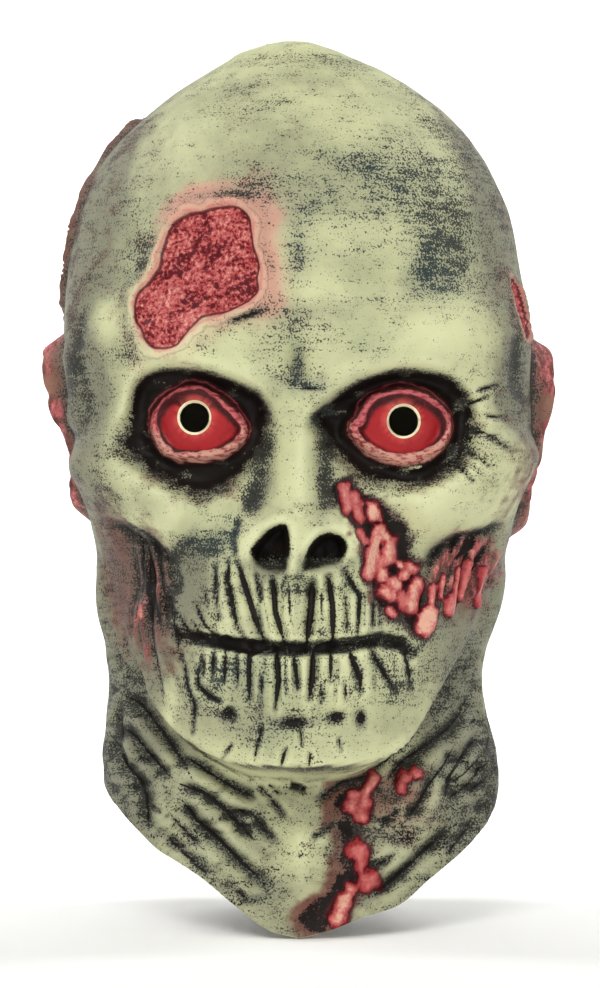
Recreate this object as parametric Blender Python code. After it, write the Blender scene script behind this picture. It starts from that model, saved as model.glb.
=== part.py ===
"""Vinyl ghoul mask: one soft cast shell that goes over the whole head.

Metres, +Z up, the face looks toward -Y and +X is the viewer's right.  The origin is the
point inside the crown where the wearer's head carries the mask.  The shell is a grown
surface: section tables give the skull and the neck, relief tables give the face, and the
inner wall follows the outer one a wall thickness inside it.
"""

import math

import bmesh
import bpy
import numpy as np

# Driving sizes.
MASK_HEIGHT = 0.380
HALF_WIDTH = 0.100
FRONT_DEPTH = 0.095
BACK_DEPTH = 0.118
NECK_HALF_WIDTH = 0.086
NECK_FRONT_DEPTH = 0.060
WALL = 0.0022
RELIEF = 0.010
PUPIL_BORE = 0.0123
PUPIL_RING = 0.0143
EAR_DEPTH = 0.044
EAR_BEHIND_AXIS = 0.012
EYE_DEPTH = 0.003
EYEBALL_REACH = 0.0236
SOCKET_EDGE = 0.0065
LID_EDGE = 0.003
NOSTRIL_EDGE = 0.003
MOUTH_LIP = 0.0042
WOUND_RIM = 0.0024

# Mesh density: cells across the crown patch, rows from there to the rim.
CROWN_CELLS = 36
SKIRT_ROWS = 112
CROWN_REACH = 0.30
FRONT_PACKING = 0.5
SHELL_TRIANGLES = 10800

# Skull and face, crown to throat: share of the height dropped, half width, front depth,
# back depth (shares of their own sizes) and squareness of the section.
SKULL_SECTIONS = (
    (0.000, 0.000, 0.000, 0.000, 2.00),
    (0.018, 0.275, 0.350, 0.300, 2.00),
    (0.055, 0.520, 0.570, 0.510, 2.00),
    (0.110, 0.760, 0.770, 0.730, 2.00),
    (0.165, 0.885, 0.870, 0.845, 2.05),
    (0.240, 0.965, 0.950, 0.935, 2.10),
    (0.315, 1.000, 1.000, 0.990, 2.20),
    (0.375, 0.990, 1.000, 1.000, 2.30),
    (0.430, 0.980, 0.975, 0.975, 2.30),
    (0.490, 0.950, 0.945, 0.915, 2.25),
    (0.570, 0.910, 0.930, 0.820, 2.10),
    (0.650, 0.840, 0.960, 0.745, 2.00),
    (0.720, 0.780, 0.985, 0.710, 2.00),
    (0.780, 0.740, 0.980, 0.700, 1.95),
    (0.825, 0.710, 0.950, 0.700, 1.95),
    (1.000, 0.660, 0.850, 0.740, 2.00),
)

# Neck and bib: share of the height dropped, half width, front depth.
NECK_SECTIONS = (
    (0.500, 1.04, 0.95),
    (0.565, 1.045, 0.93),
    (0.640, 1.035, 0.92),
    (0.695, 0.965, 0.92),
    (0.730, 0.945, 0.93),
    (0.770, 0.965, 0.95),
    (0.805, 0.99, 0.97),
    (0.840, 1.00, 1.00),
    (0.900, 1.00, 1.07),
    (1.000, 1.02, 1.20),
)

# Sideways lean of the sculpt: share of the height dropped, share of the half width.
LEAN = (
    (0.000, -0.030), (0.060, -0.008), (0.120, -0.020), (0.300, -0.020), (0.380, 0.000),
    (0.600, 0.000), (0.700, -0.018), (0.760, -0.020), (0.820, 0.000), (1.000, 0.000),
)

# Where the jaw turns under into the neck: degrees round from the nose, share dropped.
JAW_LINE = (
    (0, 0.820), (20, 0.815), (35, 0.790), (50, 0.750), (65, 0.690),
    (80, 0.620), (95, 0.570), (120, 0.550), (180, 0.550),
)

# Trimmed lower edge: degrees round from the nose, share dropped on the left and right.
RIM_LINE = (
    (0, 1.000, 1.000), (11, 0.991, 0.991), (20, 0.972, 0.980), (35, 0.938, 0.965),
    (45, 0.921, 0.942), (53, 0.909, 0.926), (61, 0.891, 0.910), (68, 0.876, 0.895),
    (76, 0.861, 0.879), (86, 0.845, 0.850), (120, 0.845, 0.845), (180, 0.855, 0.855),
)

# Rounded forms: place across, share dropped, reach across, reach down, tilt, height.
# Reaches are shares of the half width, heights are in relief units.
FORMS = (
    (0.00, 0.250, 0.46, 0.40, 0, 0.30),
    (0.52, 0.346, 0.34, 0.15, -4, 0.80),
    (-0.48, 0.351, 0.33, 0.15, 4, 0.75),
    (0.18, 0.384, 0.18, 0.10, -20, 0.70),
    (-0.18, 0.386, 0.17, 0.10, 20, 0.70),
    (-0.01, 0.378, 0.04, 0.11, 0, -0.45),
    (0.00, 0.640, 0.46, 0.22, 0, 1.00),
    (0.00, 0.724, 0.44, 0.17, 0, 0.75),
    (0.02, 0.790, 0.34, 0.14, 0, 0.60),
    (-0.02, 0.760, 0.08, 0.04, 0, -0.30),
    (0.20, 0.752, 0.09, 0.04, 0, -0.30),
    (-0.20, 0.560, 0.07, 0.12, 0, 0.70),
    (0.21, 0.558, 0.07, 0.12, 0, 0.70),
    (-0.66, 0.590, 0.22, 0.26, 12, -1.40),
    (0.62, 0.595, 0.20, 0.24, -12, -1.20),
    (-0.60, 0.720, 0.16, 0.20, 10, -0.30),
    (0.58, 0.725, 0.16, 0.18, -10, -0.25),
)

# Bony ridges of the face: reach, height, then points across and dropped.
RIDGES = (
    (0.150, 0.95, ((-0.97, 0.455), (-0.80, 0.490), (-0.62, 0.525), (-0.42, 0.550))),
    (0.150, 0.95, ((0.97, 0.435), (0.86, 0.475), (0.66, 0.518), (0.42, 0.545))),
    (0.070, 0.35, ((-0.58, 0.600), (-0.54, 0.650), (-0.55, 0.700))),
    (0.060, 0.40, ((-0.95, 0.340), (-0.92, 0.400), (-0.95, 0.450))),
)

# Ears: side, share dropped at the middle, height, lift of the flap in relief units.
EARS = ((-1, 0.436, 0.079, 0.64), (1, 0.448, 0.084, 0.60))

# Bridge of the nose: share dropped, half width share, height.
NOSE_SECTIONS = (
    (0.380, 0.095, 0.00),
    (0.420, 0.105, 0.45),
    (0.470, 0.130, 0.95),
    (0.520, 0.170, 1.50),
    (0.555, 0.200, 1.85),
    (0.578, 0.205, 1.70),
    (0.600, 0.200, 0.80),
    (0.620, 0.200, 0.00),
)

NOSTRILS = (
    ((-0.195, 0.576), (-0.154, 0.562), (-0.109, 0.551), (-0.051, 0.551),
     (-0.046, 0.591), (-0.093, 0.600), (-0.170, 0.592)),
    ((0.012, 0.593), (0.045, 0.568), (0.103, 0.558), (0.166, 0.563),
     (0.184, 0.576), (0.130, 0.588), (0.081, 0.585)),
)

SOCKETS = (
    ((-0.728, 0.446), (-0.668, 0.392), (-0.491, 0.380), (-0.280, 0.394), (-0.152, 0.415),
     (-0.152, 0.446), (-0.243, 0.491), (-0.420, 0.513), (-0.619, 0.491), (-0.718, 0.468)),
    ((0.067, 0.431), (0.141, 0.413), (0.283, 0.392), (0.452, 0.383), (0.602, 0.390),
     (0.708, 0.411), (0.722, 0.439), (0.673, 0.476), (0.495, 0.502), (0.283, 0.498),
     (0.163, 0.470), (0.092, 0.448)),
)
LIDS = (
    ((-0.628, 0.431), (-0.465, 0.398), (-0.280, 0.416), (-0.212, 0.442), (-0.202, 0.455),
     (-0.281, 0.474), (-0.450, 0.481), (-0.571, 0.476), (-0.617, 0.455)),
    ((0.174, 0.448), (0.284, 0.410), (0.441, 0.396), (0.583, 0.406), (0.650, 0.438),
     (0.632, 0.464), (0.497, 0.492), (0.341, 0.481), (0.213, 0.461)),
)
EYE_OPENINGS = (
    ((-0.592, 0.438), (-0.550, 0.416), (-0.450, 0.406), (-0.351, 0.416), (-0.280, 0.436),
     (-0.258, 0.448), (-0.337, 0.464), (-0.436, 0.468), (-0.536, 0.463)),
    ((0.267, 0.442), (0.305, 0.419), (0.419, 0.409), (0.526, 0.416), (0.597, 0.438),
     (0.554, 0.461), (0.426, 0.471), (0.313, 0.463), (0.249, 0.446)),
)
PUPILS = ((-0.436, 0.432), (0.428, 0.436))

MOUTH = (
    (-0.478, 0.673), (-0.346, 0.677), (-0.183, 0.682), (-0.008, 0.684),
    (0.183, 0.682), (0.326, 0.677), (0.436, 0.678),
)

FOREHEAD_WOUND = (
    (-0.530, 0.227), (-0.485, 0.213), (-0.386, 0.207), (-0.251, 0.207), (-0.206, 0.221),
    (-0.193, 0.252), (-0.169, 0.280), (-0.181, 0.301), (-0.234, 0.309), (-0.329, 0.319),
    (-0.415, 0.330), (-0.477, 0.344), (-0.526, 0.356), (-0.584, 0.357), (-0.633, 0.351),
    (-0.662, 0.338), (-0.674, 0.314), (-0.662, 0.298), (-0.608, 0.279), (-0.576, 0.264),
    (-0.555, 0.248),
)

# Torn flesh of the cheek: the sunken path, then lumps (across, dropped, reach, height).
CHEEK_TEAR = (
    (0.184, 0.505), (0.213, 0.527), (0.295, 0.570), (0.389, 0.608), (0.511, 0.645),
    (0.573, 0.672),
)
CHEEK_LUMPS = (
    (0.190, 0.515, 0.050, 0.45), (0.225, 0.545, 0.050, 0.40), (0.303, 0.536, 0.060, 0.55),
    (0.320, 0.566, 0.065, 0.60), (0.285, 0.588, 0.055, 0.60), (0.390, 0.574, 0.050, 0.45),
    (0.368, 0.600, 0.060, 0.50), (0.430, 0.618, 0.065, 0.55), (0.490, 0.622, 0.060, 0.50),
    (0.475, 0.650, 0.060, 0.55), (0.520, 0.658, 0.055, 0.50), (0.620, 0.610, 0.070, 0.45),
)

# Boils down the front of the neck (across, dropped, reach, height).
NECK_LUMPS = (
    (0.295, 0.835, 0.060, 0.40), (0.250, 0.850, 0.080, 0.60), (0.190, 0.862, 0.050, 0.35),
    (0.245, 0.872, 0.050, 0.35), (0.455, 0.830, 0.080, 0.55), (0.430, 0.844, 0.055, 0.40),
    (0.242, 0.908, 0.080, 0.65), (0.245, 0.923, 0.050, 0.40), (0.288, 0.942, 0.085, 0.65),
    (0.210, 0.950, 0.070, 0.50), (0.175, 0.964, 0.085, 0.60), (0.150, 0.980, 0.060, 0.45),
)

# Sagging folds of the neck: depth, reach, then points across and dropped.
NECK_FOLDS = (
    (0.35, 0.030, ((-0.755, 0.742), (-0.619, 0.771), (-0.502, 0.809), (-0.440, 0.833))),
    (0.30, 0.028, ((-0.767, 0.776), (-0.625, 0.810), (-0.514, 0.836))),
    (0.35, 0.030, ((-0.817, 0.784), (-0.755, 0.823), (-0.656, 0.853), (-0.625, 0.903))),
    (0.35, 0.030, ((-0.510, 0.836), (-0.326, 0.860), (-0.253, 0.879), (-0.173, 0.900))),
    (0.35, 0.030, ((-0.510, 0.850), (-0.339, 0.896), (-0.154, 0.942), (-0.130, 0.957))),
    (0.25, 0.028, ((-0.572, 0.896), (-0.498, 0.910), (-0.369, 0.939))),
    (0.30, 0.028, ((-0.486, 0.805), (-0.326, 0.833), (-0.154, 0.858))),
    (0.30, 0.028, ((0.352, 0.834), (0.526, 0.796), (0.686, 0.764), (0.752, 0.734))),
    (0.30, 0.028, ((0.425, 0.880), (0.546, 0.836), (0.619, 0.813), (0.666, 0.789))),
    (0.35, 0.030, ((0.610, 0.853), (0.630, 0.830), (0.697, 0.808), (0.791, 0.784))),
    (0.30, 0.028, ((0.623, 0.856), (0.711, 0.842), (0.805, 0.817))),
    (0.35, 0.030, ((0.305, 0.957), (0.492, 0.917), (0.666, 0.882))),
    (0.25, 0.028, ((0.617, 0.918), (0.670, 0.902), (0.764, 0.877))),
)


def smooth_step(low, high, value):
    """Ease from 0 at the low value to 1 at the high one."""
    share = np.clip((value - low) / (high - low), 0.0, 1.0)
    return share * share * (3.0 - 2.0 * share)


def mix(first, second, share):
    """Blend two values."""
    return first + (second - first) * share


def smooth_column(places, values, at):
    """Read a smooth curve drawn through rows of a table."""
    places = np.asarray(places, dtype=float)
    values = np.asarray(values, dtype=float)
    slopes = np.gradient(values, places)
    at = np.clip(at, places[0], places[-1])
    low = np.clip(np.searchsorted(places, at) - 1, 0, len(places) - 2)
    span = places[low + 1] - places[low]
    t = (at - places[low]) / span
    start = (2 * t**3 - 3 * t**2 + 1) * values[low] + (t**3 - 2 * t**2 + t) * span * slopes[low]
    end = (3 * t**2 - 2 * t**3) * values[low + 1] + (t**3 - t**2) * span * slopes[low + 1]
    return start + end


def section_radius(turn, half_width, depth, squareness):
    """Distance from the axis to a rounded section, by angle from the nose."""
    across = (np.abs(np.sin(turn)) / half_width) ** squareness
    along = (np.abs(np.cos(turn)) / depth) ** squareness
    return (across + along) ** (-1.0 / squareness)


def base_surface(turn, root):
    """Bare skull and neck: points by angle from the nose and square root of the drop."""
    drop = root**2
    rows = np.array(SKULL_SECTIONS)
    roots = np.sqrt(rows[:, 0])
    column = [smooth_column(roots, rows[:, i], root) for i in range(1, 5)]
    width = np.maximum(column[0], 1e-6) * HALF_WIDTH
    back = np.maximum(column[2], 1e-6) * BACK_DEPTH
    facing = np.cos(turn) > 0
    depth = np.where(facing, np.maximum(column[1], 1e-6) * FRONT_DEPTH, back)
    face = section_radius(turn, width, depth, column[3])

    neck_rows = np.array(NECK_SECTIONS)
    neck_width = smooth_column(neck_rows[:, 0], neck_rows[:, 1], drop) * NECK_HALF_WIDTH
    neck_front = smooth_column(neck_rows[:, 0], neck_rows[:, 2], drop) * NECK_FRONT_DEPTH
    neck = section_radius(turn, neck_width, np.where(facing, neck_front, back), 2.05)

    degrees = np.abs(np.degrees(turn))
    jaw_rows = np.array(JAW_LINE)
    jaw = smooth_column(jaw_rows[:, 0], jaw_rows[:, 1], degrees)
    soft = mix(0.014, 0.034, smooth_step(15, 75, degrees))
    radius = mix(face, neck, smooth_step(jaw - soft, jaw + soft, drop))
    lean_rows = np.array(LEAN)
    lean = smooth_column(lean_rows[:, 0], lean_rows[:, 1], drop) * HALF_WIDTH
    return np.stack([lean + radius * np.sin(turn), -radius * np.cos(turn),
                     WALL - drop * MASK_HEIGHT], axis=1)


def rim_root(turn):
    """Square root of the drop where the shell is trimmed."""
    rows = np.array(RIM_LINE)
    degrees = np.abs(np.degrees(turn))
    left = smooth_column(rows[:, 0], rows[:, 1], degrees)
    right = smooth_column(rows[:, 0], rows[:, 2], degrees)
    return np.sqrt(np.where(turn < 0, left, right))


def in_metres(points):
    """Turn shares across and dropped into metres."""
    return np.array(points, dtype=float) * (HALF_WIDTH, MASK_HEIGHT)


def path_distance(place, points):
    """Distance to a bent path and the share of its length at the nearest point."""
    steps = np.linalg.norm(np.diff(points, axis=0), axis=1)
    before = np.concatenate([[0.0], np.cumsum(steps)])
    best = np.full(len(place), 1e9)
    along = np.zeros(len(place))
    for start, end, done, step in zip(points[:-1], points[1:], before, steps):
        share = np.clip((place - start) @ (end - start) / step**2, 0.0, 1.0)
        away = np.linalg.norm(place - start - share[:, None] * (end - start), axis=1)
        closer = away < best
        best = np.where(closer, away, best)
        along = np.where(closer, (done + share * step) / before[-1], along)
    return best, along


def rounded_outline(points, extra=4):
    """Closed outline with curved corners through the given points."""
    points = in_metres(points)
    count = len(points)
    places = np.arange(-2, count + 3)
    at = np.arange(count * extra) / extra
    return np.stack([smooth_column(places, points[places % count, i], at) for i in (0, 1)], axis=1)


def depth_inside(place, points):
    """Distance to a closed outline, positive inside it."""
    outline = rounded_outline(points)
    away, _ = path_distance(place, np.vstack([outline, outline[:1]]))
    inside = np.zeros(len(place), dtype=bool)
    for (ax, ay), (bx, by) in zip(outline, np.roll(outline, -1, axis=0)):
        if ay == by:
            continue
        crosses = (ay > place[:, 1]) != (by > place[:, 1])
        inside ^= crosses & (place[:, 0] < (bx - ax) * (place[:, 1] - ay) / (by - ay) + ax)
    return np.where(inside, away, -away)


def lump(place, across, dropped, reach_across, reach_down, tilt=0.0):
    """Rounded swelling: 1 at its middle, fading past its reach."""
    turn = math.radians(tilt)
    x = place[:, 0] - across * HALF_WIDTH
    z = place[:, 1] - dropped * MASK_HEIGHT
    u = (x * math.cos(turn) + z * math.sin(turn)) / (reach_across * HALF_WIDTH)
    v = (z * math.cos(turn) - x * math.sin(turn)) / (reach_down * HALF_WIDTH)
    return np.exp(-(u * u + v * v))


def ridge(place, points, reach):
    """Raised line that runs out softly at both ends."""
    away, along = path_distance(place, in_metres(points))
    ends = smooth_step(0.0, 0.2, along) * smooth_step(1.0, 0.8, along)
    return np.exp(-((away / (reach * HALF_WIDTH)) ** 2)) * mix(0.15, 1.0, ends)


def crease(place, points, reach):
    """Pressed line with a low swell on either side."""
    away, along = path_distance(place, in_metres(points))
    ends = smooth_step(0.0, 0.15, along) * smooth_step(1.0, 0.75, along)
    share = away / (reach * HALF_WIDTH)
    return (0.4 * np.exp(-((share - 2.2) ** 2)) - np.exp(-(share**2))) * ends


def nose_relief(place):
    """Bridge, tip and wings root of the nose."""
    rows = np.array(NOSE_SECTIONS)
    dropped = place[:, 1] / MASK_HEIGHT
    width = smooth_column(rows[:, 0], rows[:, 1], dropped) * HALF_WIDTH
    height = np.maximum(smooth_column(rows[:, 0], rows[:, 2], dropped), 0.0)
    return height * np.exp(-np.abs(place[:, 0] / width) ** 2.2)


def eye_relief(place, relief):
    """Sunken sockets, swollen lids and the eyeballs between them."""
    for socket, lid, opening, pupil in zip(SOCKETS, LIDS, EYE_OPENINGS, PUPILS):
        sunk = smooth_step(-SOCKET_EDGE, SOCKET_EDGE, depth_inside(place, socket))
        relief = mix(relief, -1.25, sunk)
        swollen = smooth_step(-LID_EDGE, LID_EDGE, depth_inside(place, lid))
        relief = mix(relief, -0.45, swollen)
        away = np.linalg.norm(place - in_metres([pupil]), axis=1)
        ball = -EYE_DEPTH / RELIEF - (away / EYEBALL_REACH) ** 2
        edge = LID_EDGE / 2.5
        relief = mix(relief, ball, smooth_step(-edge, edge, depth_inside(place, opening)))
    return relief


def ear_relief(points, drop, side, middle, height, lift):
    """Flattened ear: a raised flap with a rolled edge and a deep bowl."""
    lean = math.radians(10)
    x = (points[:, 1] - EAR_BEHIND_AXIS) / (EAR_DEPTH / 2)
    z = (drop - middle * MASK_HEIGHT) / (height / 2)
    u = x * math.cos(lean) + z * math.sin(lean) * 0.6
    v = z * math.cos(lean) - x * math.sin(lean) * 0.6
    taper = 1.0 - 0.28 * smooth_step(0.0, 1.0, v)
    out = np.sqrt((u / taper) ** 2 + v**2)
    full = mix(1.0, 0.45, smooth_step(-0.4, 0.2, v)) + 0.45 * smooth_step(0.3, 0.8, v)
    flap = smooth_step(1.10, 0.86, out) * full
    roll = np.exp(-(((out - 0.84) / 0.13) ** 2)) * smooth_step(0.9, -0.2, v - 0.4 * u)
    bowl = np.exp(-(((u + 0.12) / 0.38) ** 2) - ((v + 0.02) / 0.42) ** 2)
    facing = smooth_step(0.55, 0.75, points[:, 0] * side / HALF_WIDTH)
    return (lift * flap + 0.45 * roll - 0.80 * bowl * flap) * facing


def surface_relief(points):
    """Height of the face over the bare skull, in metres."""
    drop = WALL - points[:, 2]
    place = np.stack([points[:, 0], drop], axis=1)
    front = smooth_step(0.12, -0.22, points[:, 1] / FRONT_DEPTH)
    relief = np.zeros(len(points))
    for across, dropped, reach_across, reach_down, tilt, height in FORMS:
        relief += height * lump(place, across, dropped, reach_across, reach_down, tilt)
    for reach, height, path in RIDGES:
        relief += height * ridge(place, path, reach)
    relief += nose_relief(place)
    relief = eye_relief(place, relief)
    for outline in NOSTRILS:
        relief -= 1.4 * smooth_step(-0.4, 1.0, depth_inside(place, outline) / NOSTRIL_EDGE)
    away, along = path_distance(place, in_metres(MOUTH))
    ends = smooth_step(0.0, 0.10, along) * smooth_step(1.0, 0.90, along)
    relief -= 0.70 * smooth_step(1.0, 0.3, away / MOUTH_LIP) * mix(0.4, 1.0, ends)

    inside = depth_inside(place, FOREHEAD_WOUND) / WOUND_RIM
    relief += 0.22 * np.exp(-((inside + 0.9) ** 2))
    relief -= 0.18 * smooth_step(-0.2, 0.5, inside)
    relief -= 0.40 * ridge(place, CHEEK_TEAR, 0.085)
    for across, dropped, reach, height in CHEEK_LUMPS + NECK_LUMPS:
        relief += height * lump(place, across, dropped, reach, reach)
    for depth, reach, path in NECK_FOLDS:
        relief += depth * crease(place, path, reach)
    relief *= front
    for ear in EARS:
        relief += ear_relief(points, drop, *ear)
    return relief * RELIEF


def outward_normals(points, normals):
    """Unit normals of the bare skull, turned to point away from its axis."""
    normals = normals / np.linalg.norm(normals, axis=1)[:, None]
    middle = np.array([0.0, 0.0, -0.45 * MASK_HEIGHT])
    inward = np.sum(normals * (points - middle), axis=1) < 0
    return normals * np.where(inward, -1.0, 1.0)[:, None]


def push_directions(points, outward):
    """Way the relief is pushed: square to the skull, straight forward on the face."""
    drop = WALL - points[:, 2]
    facing = smooth_step(0.25, 0.80, -outward[:, 1]) * smooth_step(0.06, 0.14, drop)
    ahead = mix(outward, np.array([0.0, -1.0, 0.0]), 0.85 * facing[:, None])
    return ahead / np.linalg.norm(ahead, axis=1)[:, None]


def grow_sheet(mesh):
    """Square crown patch with its edge loop extruded down row by row, still flat."""
    made = bmesh.ops.create_grid(mesh, x_segments=CROWN_CELLS, y_segments=CROWN_CELLS, size=1.0)
    sheet = list(made["verts"])
    faces = {face for vert in sheet for face in vert.link_faces}
    loop = [edge for face in faces for edge in face.edges if edge.is_boundary]
    for row in range(1, SKIRT_ROWS + 1):
        grown = bmesh.ops.extrude_edge_only(mesh, edges=loop)["geom"]
        verts = [item for item in grown if isinstance(item, bmesh.types.BMVert)]
        fresh = set(verts)
        loop = [item for item in grown if isinstance(item, bmesh.types.BMEdge)
                and item.verts[0] in fresh and item.verts[1] in fresh]
        for vert in verts:
            vert.co.z = -row / SKIRT_ROWS
        sheet += verts
    return sheet, loop


def sheet_angles(sheet):
    """Angle from the nose and square root of the drop for every vertex of a sheet."""
    flat = np.array([vert.co[:] for vert in sheet])
    x = flat[:, 0] * np.sqrt(1.0 - flat[:, 1] ** 2 / 2.0)
    y = flat[:, 1] * np.sqrt(1.0 - flat[:, 0] ** 2 / 2.0)
    turn = np.arctan2(x, -y)
    packing = FRONT_PACKING * smooth_step(0.0, 0.5, -flat[:, 2])
    turn = turn - packing * np.sin(turn)
    root = CROWN_REACH * np.hypot(x, y)
    drop = mix(CROWN_REACH**2, 1.0, -flat[:, 2])
    lower = smooth_step(0.5, 1.0, -flat[:, 2])
    root = np.where(flat[:, 2] < 0, np.sqrt(drop) + (rim_root(turn) - 1.0) * lower, root)
    return turn, root


def lowest_near(values, pairs, rounds):
    """Carry the lowest value along the edges of a sheet."""
    for _ in range(rounds):
        lowest = values.copy()
        np.minimum.at(lowest, pairs[:, 0], values[pairs[:, 1]])
        np.minimum.at(lowest, pairs[:, 1], values[pairs[:, 0]])
        values = lowest
    return values


def averaged(values, pairs, rounds):
    """Soften values along the edges of a sheet."""
    count = np.bincount(pairs.ravel(), minlength=len(values))
    for _ in range(rounds):
        total = np.bincount(pairs[:, 0], values[pairs[:, 1]], len(values))
        total += np.bincount(pairs[:, 1], values[pairs[:, 0]], len(values))
        values = 0.5 * values + 0.5 * total / count
    return values


def place_sheet(sheet, points):
    """Move the vertices of a sheet to their points."""
    for vert, point in zip(sheet, points):
        vert.co = point


def build_shell():
    """Closed body of the mask: outer skin, inner skin and the trimmed edge."""
    mesh = bmesh.new()
    outer, outer_loop = grow_sheet(mesh)
    turn, root = sheet_angles(outer)
    base = base_surface(turn, root)
    place_sheet(outer, base)
    mesh.normal_update()
    square = outward_normals(base, np.array([vert.normal[:] for vert in outer]))
    ahead = push_directions(base, square)
    mesh.verts.index_update()
    pairs = np.array([[vert.index for vert in edge.verts] for edge in mesh.edges])
    trimmed = smooth_step(0.0, 0.012, rim_root(turn) - root)
    upright = smooth_step(0.85, 0.45, -square[:, 2])
    relief = surface_relief(base) * mix(0.25, 1.0, trimmed) * mix(0.15, 1.0, upright)
    place_sheet(outer, base + ahead * relief[:, None])

    inner, inner_loop = grow_sheet(mesh)
    lowest = lowest_near(relief, pairs, 1)
    sunk = np.minimum(averaged(lowest_near(lowest, pairs, 1), pairs, 6), lowest)
    place_sheet(inner, base + ahead * sunk[:, None] - square * WALL)
    bmesh.ops.bridge_loops(mesh, edges=outer_loop + inner_loop)
    bmesh.ops.recalc_face_normals(mesh, faces=mesh.faces[:])
    bmesh.ops.triangulate(mesh, faces=mesh.faces[:])
    for face in mesh.faces:
        face.smooth = True

    data = bpy.data.meshes.new("mask_shell")
    mesh.to_mesh(data)
    mesh.free()
    return data


def eye_front(pupil):
    """How far forward the eyeball stands at a pupil."""
    turns = np.linspace(-1.4, 1.4, 281)
    skull = base_surface(turns, np.full(len(turns), math.sqrt(pupil[1])))
    return np.interp(pupil[0] * HALF_WIDTH, skull[:, 0], skull[:, 1]) + EYE_DEPTH


def pupil_cutter(name, pupil):
    """Round cutter with a flare that bevels the lip of a sight hole."""
    bore = PUPIL_BORE / 2
    bevel = (PUPIL_RING - PUPIL_BORE) / 2
    lip = eye_front(pupil)
    profile = (
        (0.0, lip + 0.030),
        (bore, lip + 0.030),
        (bore, lip + bevel),
        (bore + 6 * bevel, lip - 5 * bevel),
        (0.0, lip - 5 * bevel),
    )
    mesh = bmesh.new()
    verts = [mesh.verts.new((radius, along, 0.0)) for radius, along in profile]
    edges = [mesh.edges.new(pair) for pair in zip(verts[:-1], verts[1:])]
    bmesh.ops.spin(mesh, geom=verts + edges, cent=(0, 0, 0), axis=(0, 1, 0),
                   angle=2 * math.pi, steps=24)
    bmesh.ops.remove_doubles(mesh, verts=mesh.verts[:], dist=1e-6)
    bmesh.ops.recalc_face_normals(mesh, faces=mesh.faces[:])
    centre = (pupil[0] * HALF_WIDTH, 0.0, WALL - pupil[1] * MASK_HEIGHT)
    bmesh.ops.translate(mesh, verts=mesh.verts[:], vec=centre)
    data = bpy.data.meshes.new(name)
    mesh.to_mesh(data)
    mesh.free()
    cutter = bpy.data.objects.new(name, data)
    bpy.context.scene.collection.objects.link(cutter)
    cutter.hide_render = True
    cutter.display_type = "WIRE"
    return cutter


def vinyl():
    """Soft pale vinyl with a dull satin skin."""
    material = bpy.data.materials.new("mask_vinyl")
    material.use_nodes = True
    shader = material.node_tree.nodes["Principled BSDF"]
    shader.inputs["Base Color"].default_value = (0.60, 0.63, 0.35, 1.0)
    shader.inputs["Roughness"].default_value = 0.55
    return material


def main():
    """Build the mask in an empty scene."""
    for item in list(bpy.context.scene.objects):
        bpy.data.objects.remove(item, do_unlink=True)
    shell = bpy.data.objects.new("mask_shell", build_shell())
    bpy.context.scene.collection.objects.link(shell)
    shell.data.materials.append(vinyl())

    thin = shell.modifiers.new("thin", "DECIMATE")
    thin.decimate_type = "COLLAPSE"
    thin.ratio = SHELL_TRIANGLES / len(shell.data.polygons)
    for name, pupil in zip(("pupil_left_cut", "pupil_right_cut"), PUPILS):
        cut = shell.modifiers.new(name, "BOOLEAN")
        cut.operation = "DIFFERENCE"
        cut.solver = "EXACT"
        cut.object = pupil_cutter(name, pupil)


main()
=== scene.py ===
"""Looks of the vinyl ghoul mask: painted skin, raw inner skin, cut edges and a plain studio.

The mask hangs with the inside of its crown at the origin, looking toward -Y.  The skin is
grown from the same section and relief tables as the CAD shell, on a finer sheet, and every
carved feature also says how it is painted.
"""

import logging
import math
from dataclasses import dataclass, field
from enum import Enum, IntEnum

import bmesh
import bpy
import numpy as np
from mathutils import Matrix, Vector


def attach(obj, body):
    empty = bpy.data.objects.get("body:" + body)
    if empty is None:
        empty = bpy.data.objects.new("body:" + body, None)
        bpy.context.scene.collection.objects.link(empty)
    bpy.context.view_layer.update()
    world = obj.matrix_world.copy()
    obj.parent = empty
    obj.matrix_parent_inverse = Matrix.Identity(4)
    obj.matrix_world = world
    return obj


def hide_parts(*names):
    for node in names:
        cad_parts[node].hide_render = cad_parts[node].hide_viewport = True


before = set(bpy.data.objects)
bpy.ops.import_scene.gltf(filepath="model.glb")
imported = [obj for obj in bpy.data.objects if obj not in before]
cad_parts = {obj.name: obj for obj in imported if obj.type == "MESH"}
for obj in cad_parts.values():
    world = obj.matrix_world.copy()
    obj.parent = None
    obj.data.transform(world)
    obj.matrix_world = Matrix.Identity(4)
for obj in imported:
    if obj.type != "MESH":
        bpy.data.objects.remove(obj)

log = logging.getLogger("ghoul_mask")

# Points across and dropped one after the other, in thousandths of half width and height.
Path = tuple[int, ...] | list[int]
# Rows of numbers; a comment over each table says what they hold.
Table = tuple[tuple[float, ...], ...]

# One millimetre, in metres.
MM = 0.001


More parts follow.
